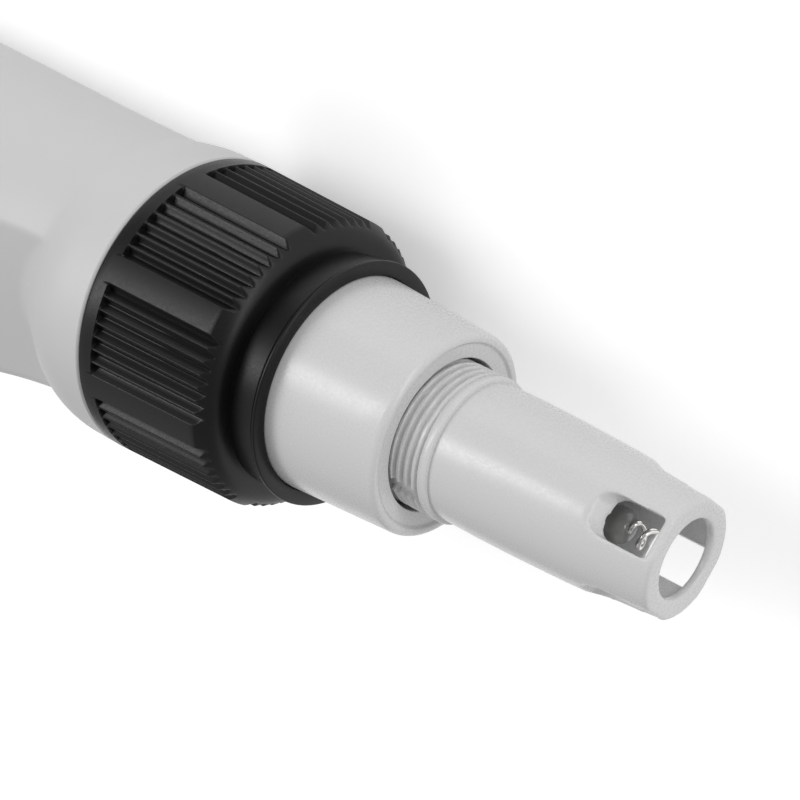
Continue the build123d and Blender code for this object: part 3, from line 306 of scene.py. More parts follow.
def surface(name, colour, roughness, grain=0.25, depth=0.004, tone=0.03, gloss_change=0.06,
            stretch=(1, 1, 1), **shader):
    """Principled material whose tone, roughness and relief vary over the surface.

    grain and depth are the spacing and height of the relief in millimetres, tone is how far
    the colour wanders over a few centimetres, and shader holds numbers for the shader itself.
    """
    material = bpy.data.materials.new(name)
    material.use_nodes = True
    tree = material.node_tree
    tree.nodes.clear()
    spot = add_node(tree, "ShaderNodeTexCoord")
    centred = add_node(tree, "ShaderNodeMapping", {
        "Vector": spot.outputs["Object"], "Location": (-JOINT_X, 0, -AXIS_Z), "Scale": stretch})
    patch = 18
    wide = add_node(tree, "ShaderNodeTexNoise", {
        "Vector": centred.outputs[0], "Scale": 1 / (patch * MM), "Detail": 2.0})
    fine = add_node(tree, "ShaderNodeTexNoise", {
        "Vector": centred.outputs[0], "Scale": 1 / (grain * MM), "Detail": 3.0})
    dark = tuple(c * (1 - tone) for c in colour[:3]) + (1,)
    light = tuple(min(c * (1 + tone), 1) for c in colour[:3]) + (1,)
    tint = add_node(tree, "ShaderNodeMix", {
        0: wide.outputs["Fac"], 6: dark, 7: light}, data_type="RGBA")
    rough = add_node(tree, "ShaderNodeMapRange", {
        "Value": fine.outputs["Fac"], "From Min": 0.3, "From Max": 0.7,
        "To Min": roughness - gloss_change, "To Max": roughness + gloss_change})
    relief = add_node(tree, "ShaderNodeBump", {
        "Height": fine.outputs["Fac"], "Distance": depth * MM, "Strength": 1.0})
    skin = add_node(tree, "ShaderNodeBsdfPrincipled", {
        "Base Color": tint.outputs[2], "Roughness": rough.outputs[0],
        "Normal": relief.outputs[0], **shader})
    add_node(tree, "ShaderNodeOutputMaterial", {"Surface": skin.outputs[0]})
    return material


def make_materials(tints):
    """Fill FINISH, which gives the material of each slot of the record."""
    # ABS, moulded in a lightly etched tool: soft wide highlights and a faint even grain
    FINISH["housing_shell"] = surface(
        "abs_etched_mould", tints.housing, 0.5, grain=0.22, depth=0.003, tone=0.012, IOR=1.5)
    FINISH["panel_insert"] = surface(
        "abs_spark_eroded_mould", linear("9EA1A4"), 0.48, grain=0.3, depth=0.008, tone=0.02)
    # ABS, moulded in a polished tool: narrower streaks of light than on the housing
    polished = surface(
        "abs_polished_mould", tints.electrode, 0.28, grain=0.3, depth=0.0008, tone=0.012, IOR=1.5)
    for slot in ("shell_white", "barrel_white", "guard_white"):
        FINISH[slot] = polished
    # Polypropylene, moulded satin black: it is seen by its reflections, and its edges catch light
    satin = surface(
        "polypropylene_satin_mould", tints.collar, 0.36, grain=0.2, depth=0.003, tone=0.1,
        IOR=1.49, **{"Specular IOR Level": 0.3})
    FINISH["collar_black"] = satin
    FINISH["cap_black"] = satin
    FINISH["key_plastic"] = surface(
        "abs_key_mould", linear("2B2C2F"), 0.42, grain=0.2, depth=0.005, tone=0.06)
    # Glass-filled nylon, moulded: dull black with a slightly mottled skin
    FINISH["dark_plastic"] = surface(
        "nylon_glass_filled", linear("1C1C1D"), 0.5, grain=0.3, depth=0.01, tone=0.12)
    FINISH["connector_plastic"] = surface(
        "nylon_natural", linear("DAD5BF"), 0.45, grain=0.3, depth=0.004)
    FINISH["washer_plastic"] = surface(
        "acetal_turned", linear("E9E8E2"), 0.4, grain=0.3, depth=0.002)
    FINISH["chip_black"] = surface(
        "epoxy_moulded", linear("161617"), 0.55, grain=0.15, depth=0.006, tone=0.1)
    # Nitrile rubber, moulded: dull, with a dusty bloom
    FINISH["seal_rubber"] = surface(
        "nitrile_moulded", linear("161616"), 0.62, grain=0.2, depth=0.004, tone=0.2)
    FINISH["contact_rubber"] = surface(
        "silicone_layered", linear("C48693"), 0.6, grain=0.15, depth=0.004, tone=0.12)
    FINISH["mat_silicone"] = surface(
        "silicone_moulded", linear("8C8D8F"), 0.58, grain=0.25, depth=0.004, tone=0.04)
    # Polycarbonate, cast clear: almost free of relief, bright mirror of the lamps
    FINISH["clear_window"] = surface(
        "polycarbonate_clear", linear("F4F7F7"), 0.06, grain=4, depth=0.002, tone=0.0,
        gloss_change=0.02, IOR=1.585, **{"Transmission Weight": 1.0})
    # Liquid crystal cell: greenish grey mirror-backed glass under a polariser
    FINISH["lcd_cell"] = surface(
        "polariser_film", linear("A9B39C"), 0.25, grain=0.4, depth=0.001, tone=0.02)
    # Ink of the display's segments
    FINISH["segment_ink"] = surface(
        "segment_film", linear("20241F"), 0.4, grain=0.2, depth=0.001)
    # Solder mask on glass laminate: glossy lacquer over a faint weave
    FINISH["circuit_board"] = surface(
        "laminate_lacquered", linear("1E6B45"), 0.3, grain=0.5, depth=0.01, tone=0.12)
    FINISH["flex_film"] = surface(
        "polyimide_film", linear("B97A22"), 0.25, grain=0.6, depth=0.004, tone=0.06)
    # Steel, zinc-plated or nickel-plated and drawn: bright, with fine lines along the part
    FINISH["screw_steel"] = surface(
        "steel_zinc_plated", linear("BFC0C2"), 0.32, grain=0.1, depth=0.002, Metallic=1.0)
    FINISH["cell_steel"] = surface(
        "steel_nickel_plated", linear("D0D0CE"), 0.2, grain=0.2, depth=0.001,
        stretch=(0.1, 1, 1), Metallic=1.0)
    FINISH["spring_steel"] = surface(
        "steel_spring_plated", linear("C4C4C4"), 0.24, grain=0.15, depth=0.001, Metallic=1.0)
    FINISH["component_metal"] = surface(
        "tin_plated", linear("B9B9B6"), 0.35, grain=0.15, depth=0.003, Metallic=1.0)
    # Brass, gold-plated: warm and bright, rubbed smooth where it is plugged in
    FINISH["gold_contact"] = surface(
        "brass_gold_plated", linear("D9AE57"), 0.22, grain=0.15, depth=0.001, Metallic=1.0)
    FINISH["silver_wire"] = surface(
        "silver_drawn", linear("CFCDC8"), 0.25, grain=0.1, depth=0.001, Metallic=1.0)
    # Platinum, drawn and annealed: near white metal, very bright
    FINISH["platinum"] = surface(
        "platinum_drawn", linear("E4E2DF"), 0.16, grain=0.1, depth=0.001, tone=0.01,
        gloss_change=0.04, Metallic=1.0)
    # Sintered polymer: chalky open pores
    FINISH["porous_junction"] = surface(
        "polymer_sintered", linear("D8D2C2"), 0.8, grain=0.12, depth=0.03, tone=0.1)
    # Lead glass, drawn tube: smooth and grey over its dark filling
    FINISH["stem_glass"] = surface(
        "lead_glass_drawn", linear("8E908D"), 0.12, grain=2, depth=0.002, tone=0.04,
        gloss_change=0.03, IOR=1.52)


# Sizes and colours

class MeterSizes(bpy.types.PropertyGroup):
    groove_depth: FloatProperty(
        name="Groove depth", description="Depth of the collar's grooves below its pads",
        default=0.8 * MM, min=0, subtype="DISTANCE", unit="LENGTH")
    ridge_step: FloatProperty(
        name="Ridge step", description="How far the ridges between grooves lie below the pads",
        default=0.12 * MM, min=0, subtype="DISTANCE", unit="LENGTH")
    crease_blend: FloatProperty(
        name="Crease blend", description="Softness of the crease beside the housing's flat",
        default=0.32 * MM, min=0.01 * MM, subtype="DISTANCE", unit="LENGTH")
    shell_edge: FloatProperty(
        name="Shell edge", description="Radius of the electrode shell's front edge",
        default=0.7 * MM, min=0, subtype="DISTANCE", unit="LENGTH")
    thread_pitch: FloatProperty(
        name="Thread pitch", description="Pitch of the storage cap's thread",
        default=1.0 * MM, min=0.2 * MM, subtype="DISTANCE", unit="LENGTH")
    thread_depth: FloatProperty(
        name="Thread depth", description="Depth of the storage cap's thread",
        default=0.5 * MM, min=0, subtype="DISTANCE", unit="LENGTH")
    slot_width: FloatProperty(
        name="Slot width", description="Width of the guard's slots",
        default=4.46 * MM, min=0, subtype="DISTANCE", unit="LENGTH")
    slot_edge: FloatProperty(
        name="Slot edge", description="Radius of the edges round the guard's slots",
        default=0.32 * MM, min=0, subtype="DISTANCE", unit="LENGTH")
    flute_depth: FloatProperty(
        name="Flute depth", description="Depth of the finger flutes of the battery cap",
        default=0.55 * MM, min=0, subtype="DISTANCE", unit="LENGTH")
    flutes: IntProperty(
        name="Flutes", description="Finger flutes round the battery cap", default=24, min=3)


class MeterColours(bpy.types.PropertyGroup):
    housing: FloatVectorProperty(
        name="Housing", description="Colour of the moulded housing", size=4, subtype="COLOR",
        default=linear("D0D0D0"), min=0, max=1)
    electrode: FloatVectorProperty(
        name="Electrode", description="Colour of the electrode body and guard", size=4,
        subtype="COLOR", default=linear("D6D6D6"), min=0, max=1)
    collar: FloatVectorProperty(
        name="Collar", description="Colour of the twist collar and battery cap", size=4,
        subtype="COLOR", default=linear("070707"), min=0, max=1)
    floor: FloatVectorProperty(
        name="Floor", description="Colour of the studio floor", size=4, subtype="COLOR",
        default=linear("F2F2F2"), min=0, max=1)


class MaterialsOperator(bpy.types.Operator):
    """Make the materials and give them to the CAD pieces that stay in view"""

    bl_idname = "water_meter.materials"
    bl_label = "Materials"

    def execute(self, context):
        make_materials(context.scene.water_meter_colours)
        for name, piece in NODES.items():
            piece.data.materials.clear()
            piece.data.materials.append(FINISH[SLOTS[name]])
        return {"FINISHED"}


# Housing

def head_share(station):
    share = np.clip((NECK_X - station) / (NECK_X - HEAD_X), 0, 1)
    return share * share * (3 - 2 * share)


def section_radius(station, turn, crease):
    """Radius of the housing's section, turn being the angle from straight up."""
    share = head_share(station)
    half = NECK_HALF + (HEAD_HALF - NECK_HALF) * share
    back = NECK_BACK + (HEAD_BACK - NECK_BACK) * share
    flat = NECK_FLAT + (HEAD_FLAT - NECK_FLAT) * share
    flat_half = NECK_FLAT_HALF + (HEAD_FLAT_HALF - NECK_FLAT_HALF) * share
    bulge = flat / np.sqrt(1 - (flat_half / half) ** 2)
    up = np.cos(turn)
    height = np.where(up > 0, bulge, back)
    curve = 1 / np.sqrt((np.sin(turn) / half) ** 2 + (up / height) ** 2)
    cut_flat = flat / np.maximum(up, 0.05)
    radius = np.where(up > 0.05, soft_min(curve, cut_flat, crease), curve)
    rest = AXIS_Z / MM
    return np.where(up < -0.5, soft_min(radius, rest / np.maximum(-up, 0.5), 0.1), radius)


def flange_radius(station):
    """Radius of the flange: a straight rim, a convex back and a slope down to its root."""
    sweep = radians(FLANGE_SWEEP)
    arc_end = (-FLANGE_LEN - FLANGE_ARC_R * sin(sweep),
               FLANGE_R - FLANGE_ARC_R + FLANGE_ARC_R * cos(sweep))
    away = np.clip(-FLANGE_LEN - station, 0, FLANGE_ARC_R * sin(sweep))
    arc = FLANGE_R - FLANGE_ARC_R + np.sqrt(FLANGE_ARC_R ** 2 - away ** 2)
    slope = (arc_end[1] - FLANGE_ROOT[1]) / (arc_end[0] - FLANGE_ROOT[0])
    return np.where(station > arc_end[0], arc, arc_end[1] + slope * (station - arc_end[0]))


class HousingOperator(bpy.types.Operator):
    """Housing: a flat-fronted head that narrows to a round flange, and the collar's thread"""

    bl_idname = "water_meter.housing"
    bl_label = "Housing"

    def execute(self, context):
        sizes = context.scene.water_meter_sizes
        crease = sizes.crease_blend / MM
        end_round, front_bevel, bore, gap = 2.4, 0.25, 9.05, 0.15
        arc = [END_X + end_round * (1 - cos(radians(a))) for a in range(0, 90, 10)]
        head = list(np.arange(END_X + end_round, HEAD_X, 2.5))
        neck = list(np.arange(HEAD_X, -20, 1.2))
        root = list(np.arange(-20, -FLANGE_LEN, 0.4))
        front = [-FLANGE_LEN, -1.8, -gap - front_bevel]
        stations = arc + head + neck + root + front
        outer = 20.0
        outline = [(-91, 0), (-91, bore), (END_X, bore), (END_X, 12.0)]
        outline += [(t, outer) for t in stations]
        outline += [(-gap, outer - 0.5), (-gap, 13.9), (-0.5, 13.9), (-0.5, 0)]
        shell = spun("housing_shell", outline, 360, closed=False)

        def form(station, radius, roll):
            turn = np.radians(ROLL_ZERO - roll)
            section = section_radius(station, turn, crease)
            into = np.clip(station - END_X, 0, end_round)
            section = section - (end_round - np.sqrt(end_round ** 2 - (end_round - into) ** 2))
            flange = np.where(station > -18, flange_radius(station), 0)
            skin = np.where(station > -24, soft_max(section, flange, 1.0), section)
            rim = FLANGE_R - np.clip(station + gap + front_bevel, 0, front_bevel)
            skin = np.where(station > -gap - front_bevel - 0.01, rim, skin)
            return station, np.where(radius > 19, skin, radius), roll

        reshaped(shell, form)
        panel_low, panel_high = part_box("front_panel")
        play, depth = 0.1 * MM, 2.5 * MM
        low = ((panel_low.x - play - JOINT_X) / MM, (panel_low.y - play) / MM,
               (panel_high.z - depth - AXIS_Z) / MM)
        high = ((panel_high.x + play - JOINT_X) / MM, (panel_high.y + play) / MM, HEAD_FLAT + 3)
        cut(shell, plate("panel_pocket", low, high, corner=2.6))
        finished(shell, "housing_shell", "meter", ["housing"])

        pitch, depth = 2.0, 0.55
        crest, bore, end = 14.0, 12.3, 13.0
        turns = [(t, crest) for t in np.arange(0.4, 12.2, 0.16)]
        outline = [(-0.3, bore), (-0.3, crest - depth), *turns, (12.5, crest - depth),
                   (end, crest - depth - 0.4), (end, bore)]
        thread = spun("collar_thread", outline, 120)

        def screw(station, radius, roll):
            wave = (station / pitch + roll / 360) % 1
            tooth = np.clip(np.abs(wave - 0.5) * 4 - 0.5, 0, 1)
            ends = np.clip(np.minimum(station - 0.6, 12.2 - station), 0, 1)
            flank = crest - depth + depth * tooth * ends
            return station, np.where(radius > crest - 0.1, flank, radius), roll

        reshaped(thread, screw)
        finished(thread, "housing_shell", "meter")
        return {"FINISHED"}


class FrontOperator(bpy.types.Operator):
    """Front panel with its window, and the display's reading"""

    bl_idname = "water_meter.front"
    bl_label = "Panel and display"

    def execute(self, context):
        def span(node):
            low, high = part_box(node)
            return [tuple(Vector((c.x - JOINT_X, c.y, c.z - AXIS_Z)) / MM) for c in (low, high)]

        low, high = span("front_panel")
        thick = 2.0
        panel = plate("panel_plate", (low[0], low[1], high[2] - thick), high, corner=2.5)
        seat_low, seat_high = span("display_window")
        gap = 0.1
        cut(panel, plate("window_seat", (seat_low[0] - gap, seat_low[1] - gap, seat_low[2]),
                         (seat_high[0] + gap, seat_high[1] + gap, high[2] + 1), corner=1.1))
        cut(panel, plate("window_hole", (seat_low[0] + 1, seat_low[1] + 1, high[2] - thick - 1),
                         (seat_high[0] - 1, seat_high[1] - 1, high[2]), corner=0.6))
        hole_r, hole_depth = 3.1, 8
        for key in ("power_button", "mode_button", "cal_button"):
            key_low, key_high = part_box(key)
            middle = (key_low + key_high) / 2
            deselect()
            bpy.ops.mesh.primitive_cylinder_add(
                vertices=48, radius=hole_r * MM, depth=hole_depth * MM, location=middle)
            cutter = named("key_hole")
            bpy.ops.object.transform_apply(location=True, rotation=True, scale=True)
            cut(panel, cutter)
        bevelled(panel, 0.14, segments=2)
        finished(panel, "panel_insert", "meter", ["front_panel"])

        pane = plate("window_pane", seat_low, seat_high, corner=1.0)
        bevelled(pane, 0.12, segments=2)
        finished(pane, "clear_window", "meter", ["display_window"])

        above_glass = span("lcd_glass")[1][2] + 0.01
        self.reading(above_glass, seat_low, seat_high)
        return {"FINISHED"}

    def reading(self, height, low, high):
        """Three seven-segment figures and a point, read with the tip away."""
        lit = {"7": "abc", "0": "abcdef"}
        tall, wide, thick, skin, gap = 8.6, 4.6, 0.9, 0.04, 0.12
        upright_share, dot_share, dot_side = 0.93, 0.25, 2.2
        half, reach = tall / 2, wide / 2 - gap
        # Each segment: its middle across and up the figure, and whether it lies across
        seats = {"a": (0, half, True), "b": (wide / 2, half / 2, False),
                 "c": (wide / 2, -half / 2, False), "d": (0, -half, True),
                 "e": (-wide / 2, -half / 2, False), "f": (-wide / 2, half / 2, False)}
        middle_x, middle_y = (low[0] + high[0]) / 2, (low[1] + high[1]) / 2
        bar = plate("segment", (-thick / 2, -reach, height), (thick / 2, reach, height + skin))
        pick(bar, lambda a, b: abs(a.z - b.z) > skin * MM / 2)
        bpy.ops.mesh.bevel(offset=thick * 0.48 * MM, segments=1)
        bpy.ops.object.mode_set(mode="OBJECT")
        parts = []
        for index, (figure, across) in enumerate((("7", 5.6), ("0", -1.2), ("0", -6.9))):
            for name in lit[figure]:
                side, up, lies = seats[name]
                part = copied(bar, "segment_%d_%s" % (index, name), (0, 0, 0))
                if not lies:
                    turn = Matrix.Translation((JOINT_X, 0, 0)) @ Matrix.Rotation(pi / 2, 4, "Z") \
                        @ Matrix.Translation((-JOINT_X, 0, 0))
                    part.data.transform(turn)
                    part.data.transform(Matrix.Translation((JOINT_X, 0, 0))
                                        @ Matrix.Diagonal((upright_share, 1, 1, 1))
                                        @ Matrix.Translation((-JOINT_X, 0, 0)))
                # The figures' tops point to the tip, and across them runs along Y
                part.data.transform(Matrix.Translation(Vector(
                    (middle_x + up, middle_y + across - side, 0)) * MM))
                parts.append(part)
        dot_y = middle_y + dot_side
        dot = copied(bar, "segment_point", (middle_x - half, dot_y, 0))
        dot.data.transform(Matrix.Translation(Vector((0, dot_y * MM, 0)))
                           @ Matrix.Diagonal((1, dot_share, 1, 1))
                           @ Matrix.Translation(Vector((0, -dot_y * MM, 0))))
        parts.append(dot)
        bpy.data.objects.remove(bar)
        finished(joined("display_reading", parts), "lcd_cell", "meter", finish="segment_ink")


class KeysOperator(bpy.types.Operator):
    """Three round keys, modelled once"""

    bl_idname = "water_meter.keys"
    bl_label = "Keys"

    def execute(self, context):
        names = {"power_key": "power_button", "mode_key": "mode_button", "cal_key": "cal_button"}
        low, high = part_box("mode_button")
        middle_x = (low.x + high.x) / 2
        base, top = low.z, high.z
        radius, sag, foot_share = 2.9, 0.25, 0.42
        deselect()
        bpy.ops.mesh.primitive_cylinder_add(
            vertices=64, radius=radius * MM, depth=top - base, end_fill_type="NGON",
            location=(middle_x, 0, (base + top) / 2))
        key = named("mode_button_key")
        bpy.ops.object.transform_apply(location=True, rotation=True, scale=True)
        pick(key, lambda face: face.normal.z > 0.9, "FACE")
        bpy.ops.mesh.inset(thickness=0.25 * MM)
        bpy.ops.transform.translate(value=(0, 0, 0.02 * MM))
        for ring in (0.5, 0.6, 0.6, 0.5):
            bpy.ops.mesh.inset(thickness=ring * MM)
        bpy.ops.object.mode_set(mode="OBJECT")
        for vertex in key.data.vertices:
            away = hypot(vertex.co.x - middle_x, vertex.co.y) / MM
            if vertex.co.z > top - 0.01 * MM:
                vertex.co.z = top - sag * MM * (away / radius) ** 2
            elif vertex.co.z < base + 0.01 * MM:
                vertex.co.x = middle_x + (vertex.co.x - middle_x) * foot_share
                vertex.co.y = vertex.co.y * foot_share
        bevelled(key, 0.22, segments=3, angle=40)
        for body, node in names.items():
            low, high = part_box(node)
            twin = copied(key, body.replace("_key", "_cap"), (0, (low.y + high.y) / 2 / MM, 0))
            finished(twin, "key_plastic", body, [node])
        bpy.data.objects.remove(key)
        return {"FINISHED"}


class BatteryCapOperator(bpy.types.Operator):
    """Battery cap with finger flutes, a coin slot and its plug"""

    bl_idname = "water_meter.battery_cap"
    bl_label = "Battery cap"

    def execute(self, context):
        sizes = context.scene.water_meter_sizes
        flutes, depth = sizes.flutes, sizes.flute_depth / MM
        radius, end, face, plug, plug_end = 13.0, -104.3, -99.15, 8.9, -92.1
        rim = [(t, radius) for t in np.arange(end + 1.2, face - 0.2, 0.65)]
        outline = [(end, 0), (end, 7.0), *with_fillets(
            [(end, 7.0), (end, radius, 1.2), (face, radius, 0.2), (face, plug)],
            closed=False, segments=6)[1:-1]]
        outline = [p for p in outline if p[1] < radius - 0.01 or p[0] < end + 1.3] + rim
        outline = sorted(set(outline), key=lambda p: (p[0] > end + 1.2, p[0], p[1]))
        outline += [(face - 0.1, radius - 0.1), (face, radius - 0.3), (face, plug), (-97.4, plug),
                    (-97.4, 7.4), (-95.8, 7.4), (-95.8, plug), (plug_end, plug), (plug_end, 0)]
        cap = spun("cap_head", outline, flutes * 12, closed=False)
        flute_r = 0.8

        def form(station, r, roll):
            pitch = 360 / flutes
            away = np.abs((roll + pitch / 2) % pitch - pitch / 2) * radians(1) * radius
            bite = np.sqrt(np.maximum(flute_r ** 2 - away ** 2, 0)) - (flute_r - depth)
            level = radius - np.maximum(bite, 0)
            on_rim = (station < face) & (r > 11.5)
            return station, np.where(on_rim, np.minimum(r, level), r), roll

        reshaped(cap, form)
        slot_deep, slot_half, slot_wide = 1.6, 7.5, 0.9
        cut(cap, plate("coin_slot", (end - slot_deep, -slot_half, -slot_wide),
                       (end + slot_deep, slot_half, slot_wide)))
        finished(cap, "cap_black", "battery_cap", ["battery_cap"], smooth=32)
        return {"FINISHED"}


class CollarOperator(bpy.types.Operator):
    """Twist collar: eight pads, seven grooves between each pair, domed shoulder and sleeve"""

    bl_idname = "water_meter.collar"
    bl_label = "Twist collar"

    def execute(self, context):
        sizes = context.scene.water_meter_sizes
        depth, ridge = sizes.groove_depth / MM, sizes.ridge_step / MM
        taper = (COLLAR_FRONT_R - COLLAR_R) / RIB_END_X
        band = 1.95
        body = [0.12, 0.3, 1.1, band, band + 0.1, band + 0.3, 3.2, 5, 7.5, 10, 12.5, 15, 16.4, 17.02]
        shoulder = [(17.15, 16.84), (17.26, 16.76), (17.38, 16.68), (17.5, 16.59), (17.62, 16.5),
                    (17.74, 16.4), (17.86, 16.3), (17.98, 16.19), (18.1, 16.07), (18.22, 15.94),
                    (18.34, 15.8), (18.48, 15.6), (18.62, 15.34), (18.74, 15.05), (18.84, 14.7),
                    (18.92, 14.3), (18.97, 13.95), (19.0, 13.62)]
        sleeve = [(19.01, 13.55), (19.08, 13.54), (19.3, 13.55), (21, 13.65), (22.4, 13.73),
                  (22.52, 13.74), (22.58, 13.78), (22.68, 13.92), (22.8, 14.03), (22.95, 14.1),
                  (23.1, 14.1), (23.19, 14.07), (23.25, 13.98), (23.25, 12.6), (23.2, 12.48),
                  (23.1, 12.45), (17.7, 12.45), (17.7, 14.3)]
        outline = [(0, 14.3), (0, COLLAR_R - 0.15)]
        outline += [(t, COLLAR_R + taper * t - (0.04 if t < 0.2 else 0)) for t in body]
        sector_steps = PAD_STEPS + GROOVES * GROOVE_STEPS
        collar = spun("collar_shell", outline + shoulder + sleeve, PADS * sector_steps)
        group = GROOVES * GROOVE_PITCH
        pad = 360 / PADS - group
        # Steps of the spin across a pad and across a groove, from crest to crest, and how far
        # down the groove's wall each of those lies
        pad_share = np.array([0, 0.01, 0.03, 0.1, 0.22, 0.36, 0.5, 0.64, 0.78, 0.9, 0.97, 0.99])
        groove_share = np.array([0, 0.04, 0.09, 0.22, 0.42, 0.5, 0.58, 0.78, 0.91, 0.96])
        wall = np.array([0.01, 0.03, 0.13, 0.44, 0.92, 1, 0.92, 0.44, 0.13, 0.03])
        pad_wall = np.array([0, 0.08, 0.19, 0.47, 0.92, 1, 0.92, 0.47, 0.19, 0.08])

        def form(station, radius, roll):
            total = PADS * sector_steps
            step = np.round(roll / (360 / total)).astype(int) % total
            sector, here = step // sector_steps, step % sector_steps
            on_pad = here < PAD_STEPS
            along = np.maximum(here - PAD_STEPS, 0)
            k = along % GROOVE_STEPS
            offset = np.where(on_pad, pad_share[np.minimum(here, PAD_STEPS - 1)] * pad,
                              pad + (along // GROOVE_STEPS + groove_share[k]) * GROOVE_PITCH)
            new_roll = PAD_ROLL - pad / 2 + sector * 360 / PADS + offset
            beside_pad = (along <= GROOVE_STEPS / 2) | (along >= (GROOVES - 0.5) * GROOVE_STEPS)
            level = np.where(beside_pad, depth * pad_wall[k], ridge + (depth - ridge) * wall[k])
            level = np.where(on_pad, 0, level)
            rib = COLLAR_R + taper * station - level
            ribbed = (station > band + 0.05) & (radius > 14.6) & (station < 18.8)
            return station, np.where(ribbed, np.minimum(radius, rib), radius), new_roll

        reshaped(collar, form)
        finished(collar, "collar_black", "collar", ["collar"], smooth=50)
        return {"FINISHED"}


class ElectrodeShellOperator(bpy.types.Operator):
    """Electrode shell: plug-in spigot, flange, tapered body and stepped recess"""

    bl_idname = "water_meter.electrode_shell"
    bl_label = "Electrode shell"

    def execute(self, context):
        edge = context.scene.water_meter_sizes.shell_edge / MM
        corners = [
            (3.4, 9.35), (3.4, 12.0, 0.3), (8.25, 12.0), (8.25, 10.85), (9.65, 10.85), (9.65, 12.0),
            (14.5, 12.0), (14.5, 13.5, 0.15), (17.4, 13.5, 0.15), (17.4, 12.36), (22.6, 12.36),
            (24.0, 12.3), (27.0, 12.1), (29.6, 11.96), (32.1, 11.81), (34.6, 11.65),
            (37.55, 11.46, edge),
            (37.55, 10.5, 0.25), (37.2, 10.2, 0.25), (37.2, 8.62, 0.12), (33.0, 8.6), (33.0, 8.0),
            (12.0, 8.0), (12.0, 9.35)]
        shell = spun("electrode_body", with_fillets(corners, segments=5), 144)
        finished(shell, "shell_white", "electrode_module", ["electrode_shell"])
        return {"FINISHED"}


class BarrelOperator(bpy.types.Operator):
    """Barrel whose neck carries the storage cap's thread"""

    bl_idname = "water_meter.barrel"
    bl_label = "Barrel and neck"

    def execute(self, context):
        sizes = context.scene.water_meter_sizes
        pitch, depth = sizes.thread_pitch / MM, sizes.thread_depth / MM
        crest, band_start, end = 8.2, 40.62, 41.66
        turns = [(t, crest) for t in np.arange(35.4, band_start, 0.07)]
        seal_groove = [(29.3, 7.95), (29.3, 6.6), (30.7, 6.6), (30.7, 7.95)]
        front = [(end - 0.14, crest), (end - 0.04, crest - 0.06), (end, crest - 0.2), (end, 6.3)]
        inside = [(47.06, 6.3), (47.06, 5.0), (41.06, 5.0), (41.06, 5.6)]
        outline = [(14.0, 5.6), (14.0, 7.95), *seal_groove, (35.2, 7.95), *turns,
                   (band_start + 0.06, crest), (41.2, crest), *front, *inside]
        barrel = spun("barrel_neck", outline, 180)

        def form(station, radius, roll):
            wave = ((station - 37.1) / pitch + roll / 360) % 1
            tooth = np.clip(np.abs(wave - 0.5) * 5 - 0.75, 0, 1)
            tooth = 1 - (1 - tooth) * np.clip((band_start - station) / 0.25, 0, 1)
            thread = crest - depth * (1 - tooth)
            # A narrow flat runs along the thread, where its mould parts
            beside = np.clip(3 - np.abs(roll - 57) / 2, 0, 1)
            parting = beside * np.clip((40.1 - station) / 0.3, 0, 1)
            thread = thread - (thread - crest + depth) * parting
            on_thread = (radius > crest - 0.01) & (station < band_start)
            return station, np.where(on_thread, thread, radius), roll

        reshaped(barrel, form)
        finished(barrel, "barrel_white", "electrode_module", ["sensor_barrel"], smooth=40)
        return {"FINISHED"}


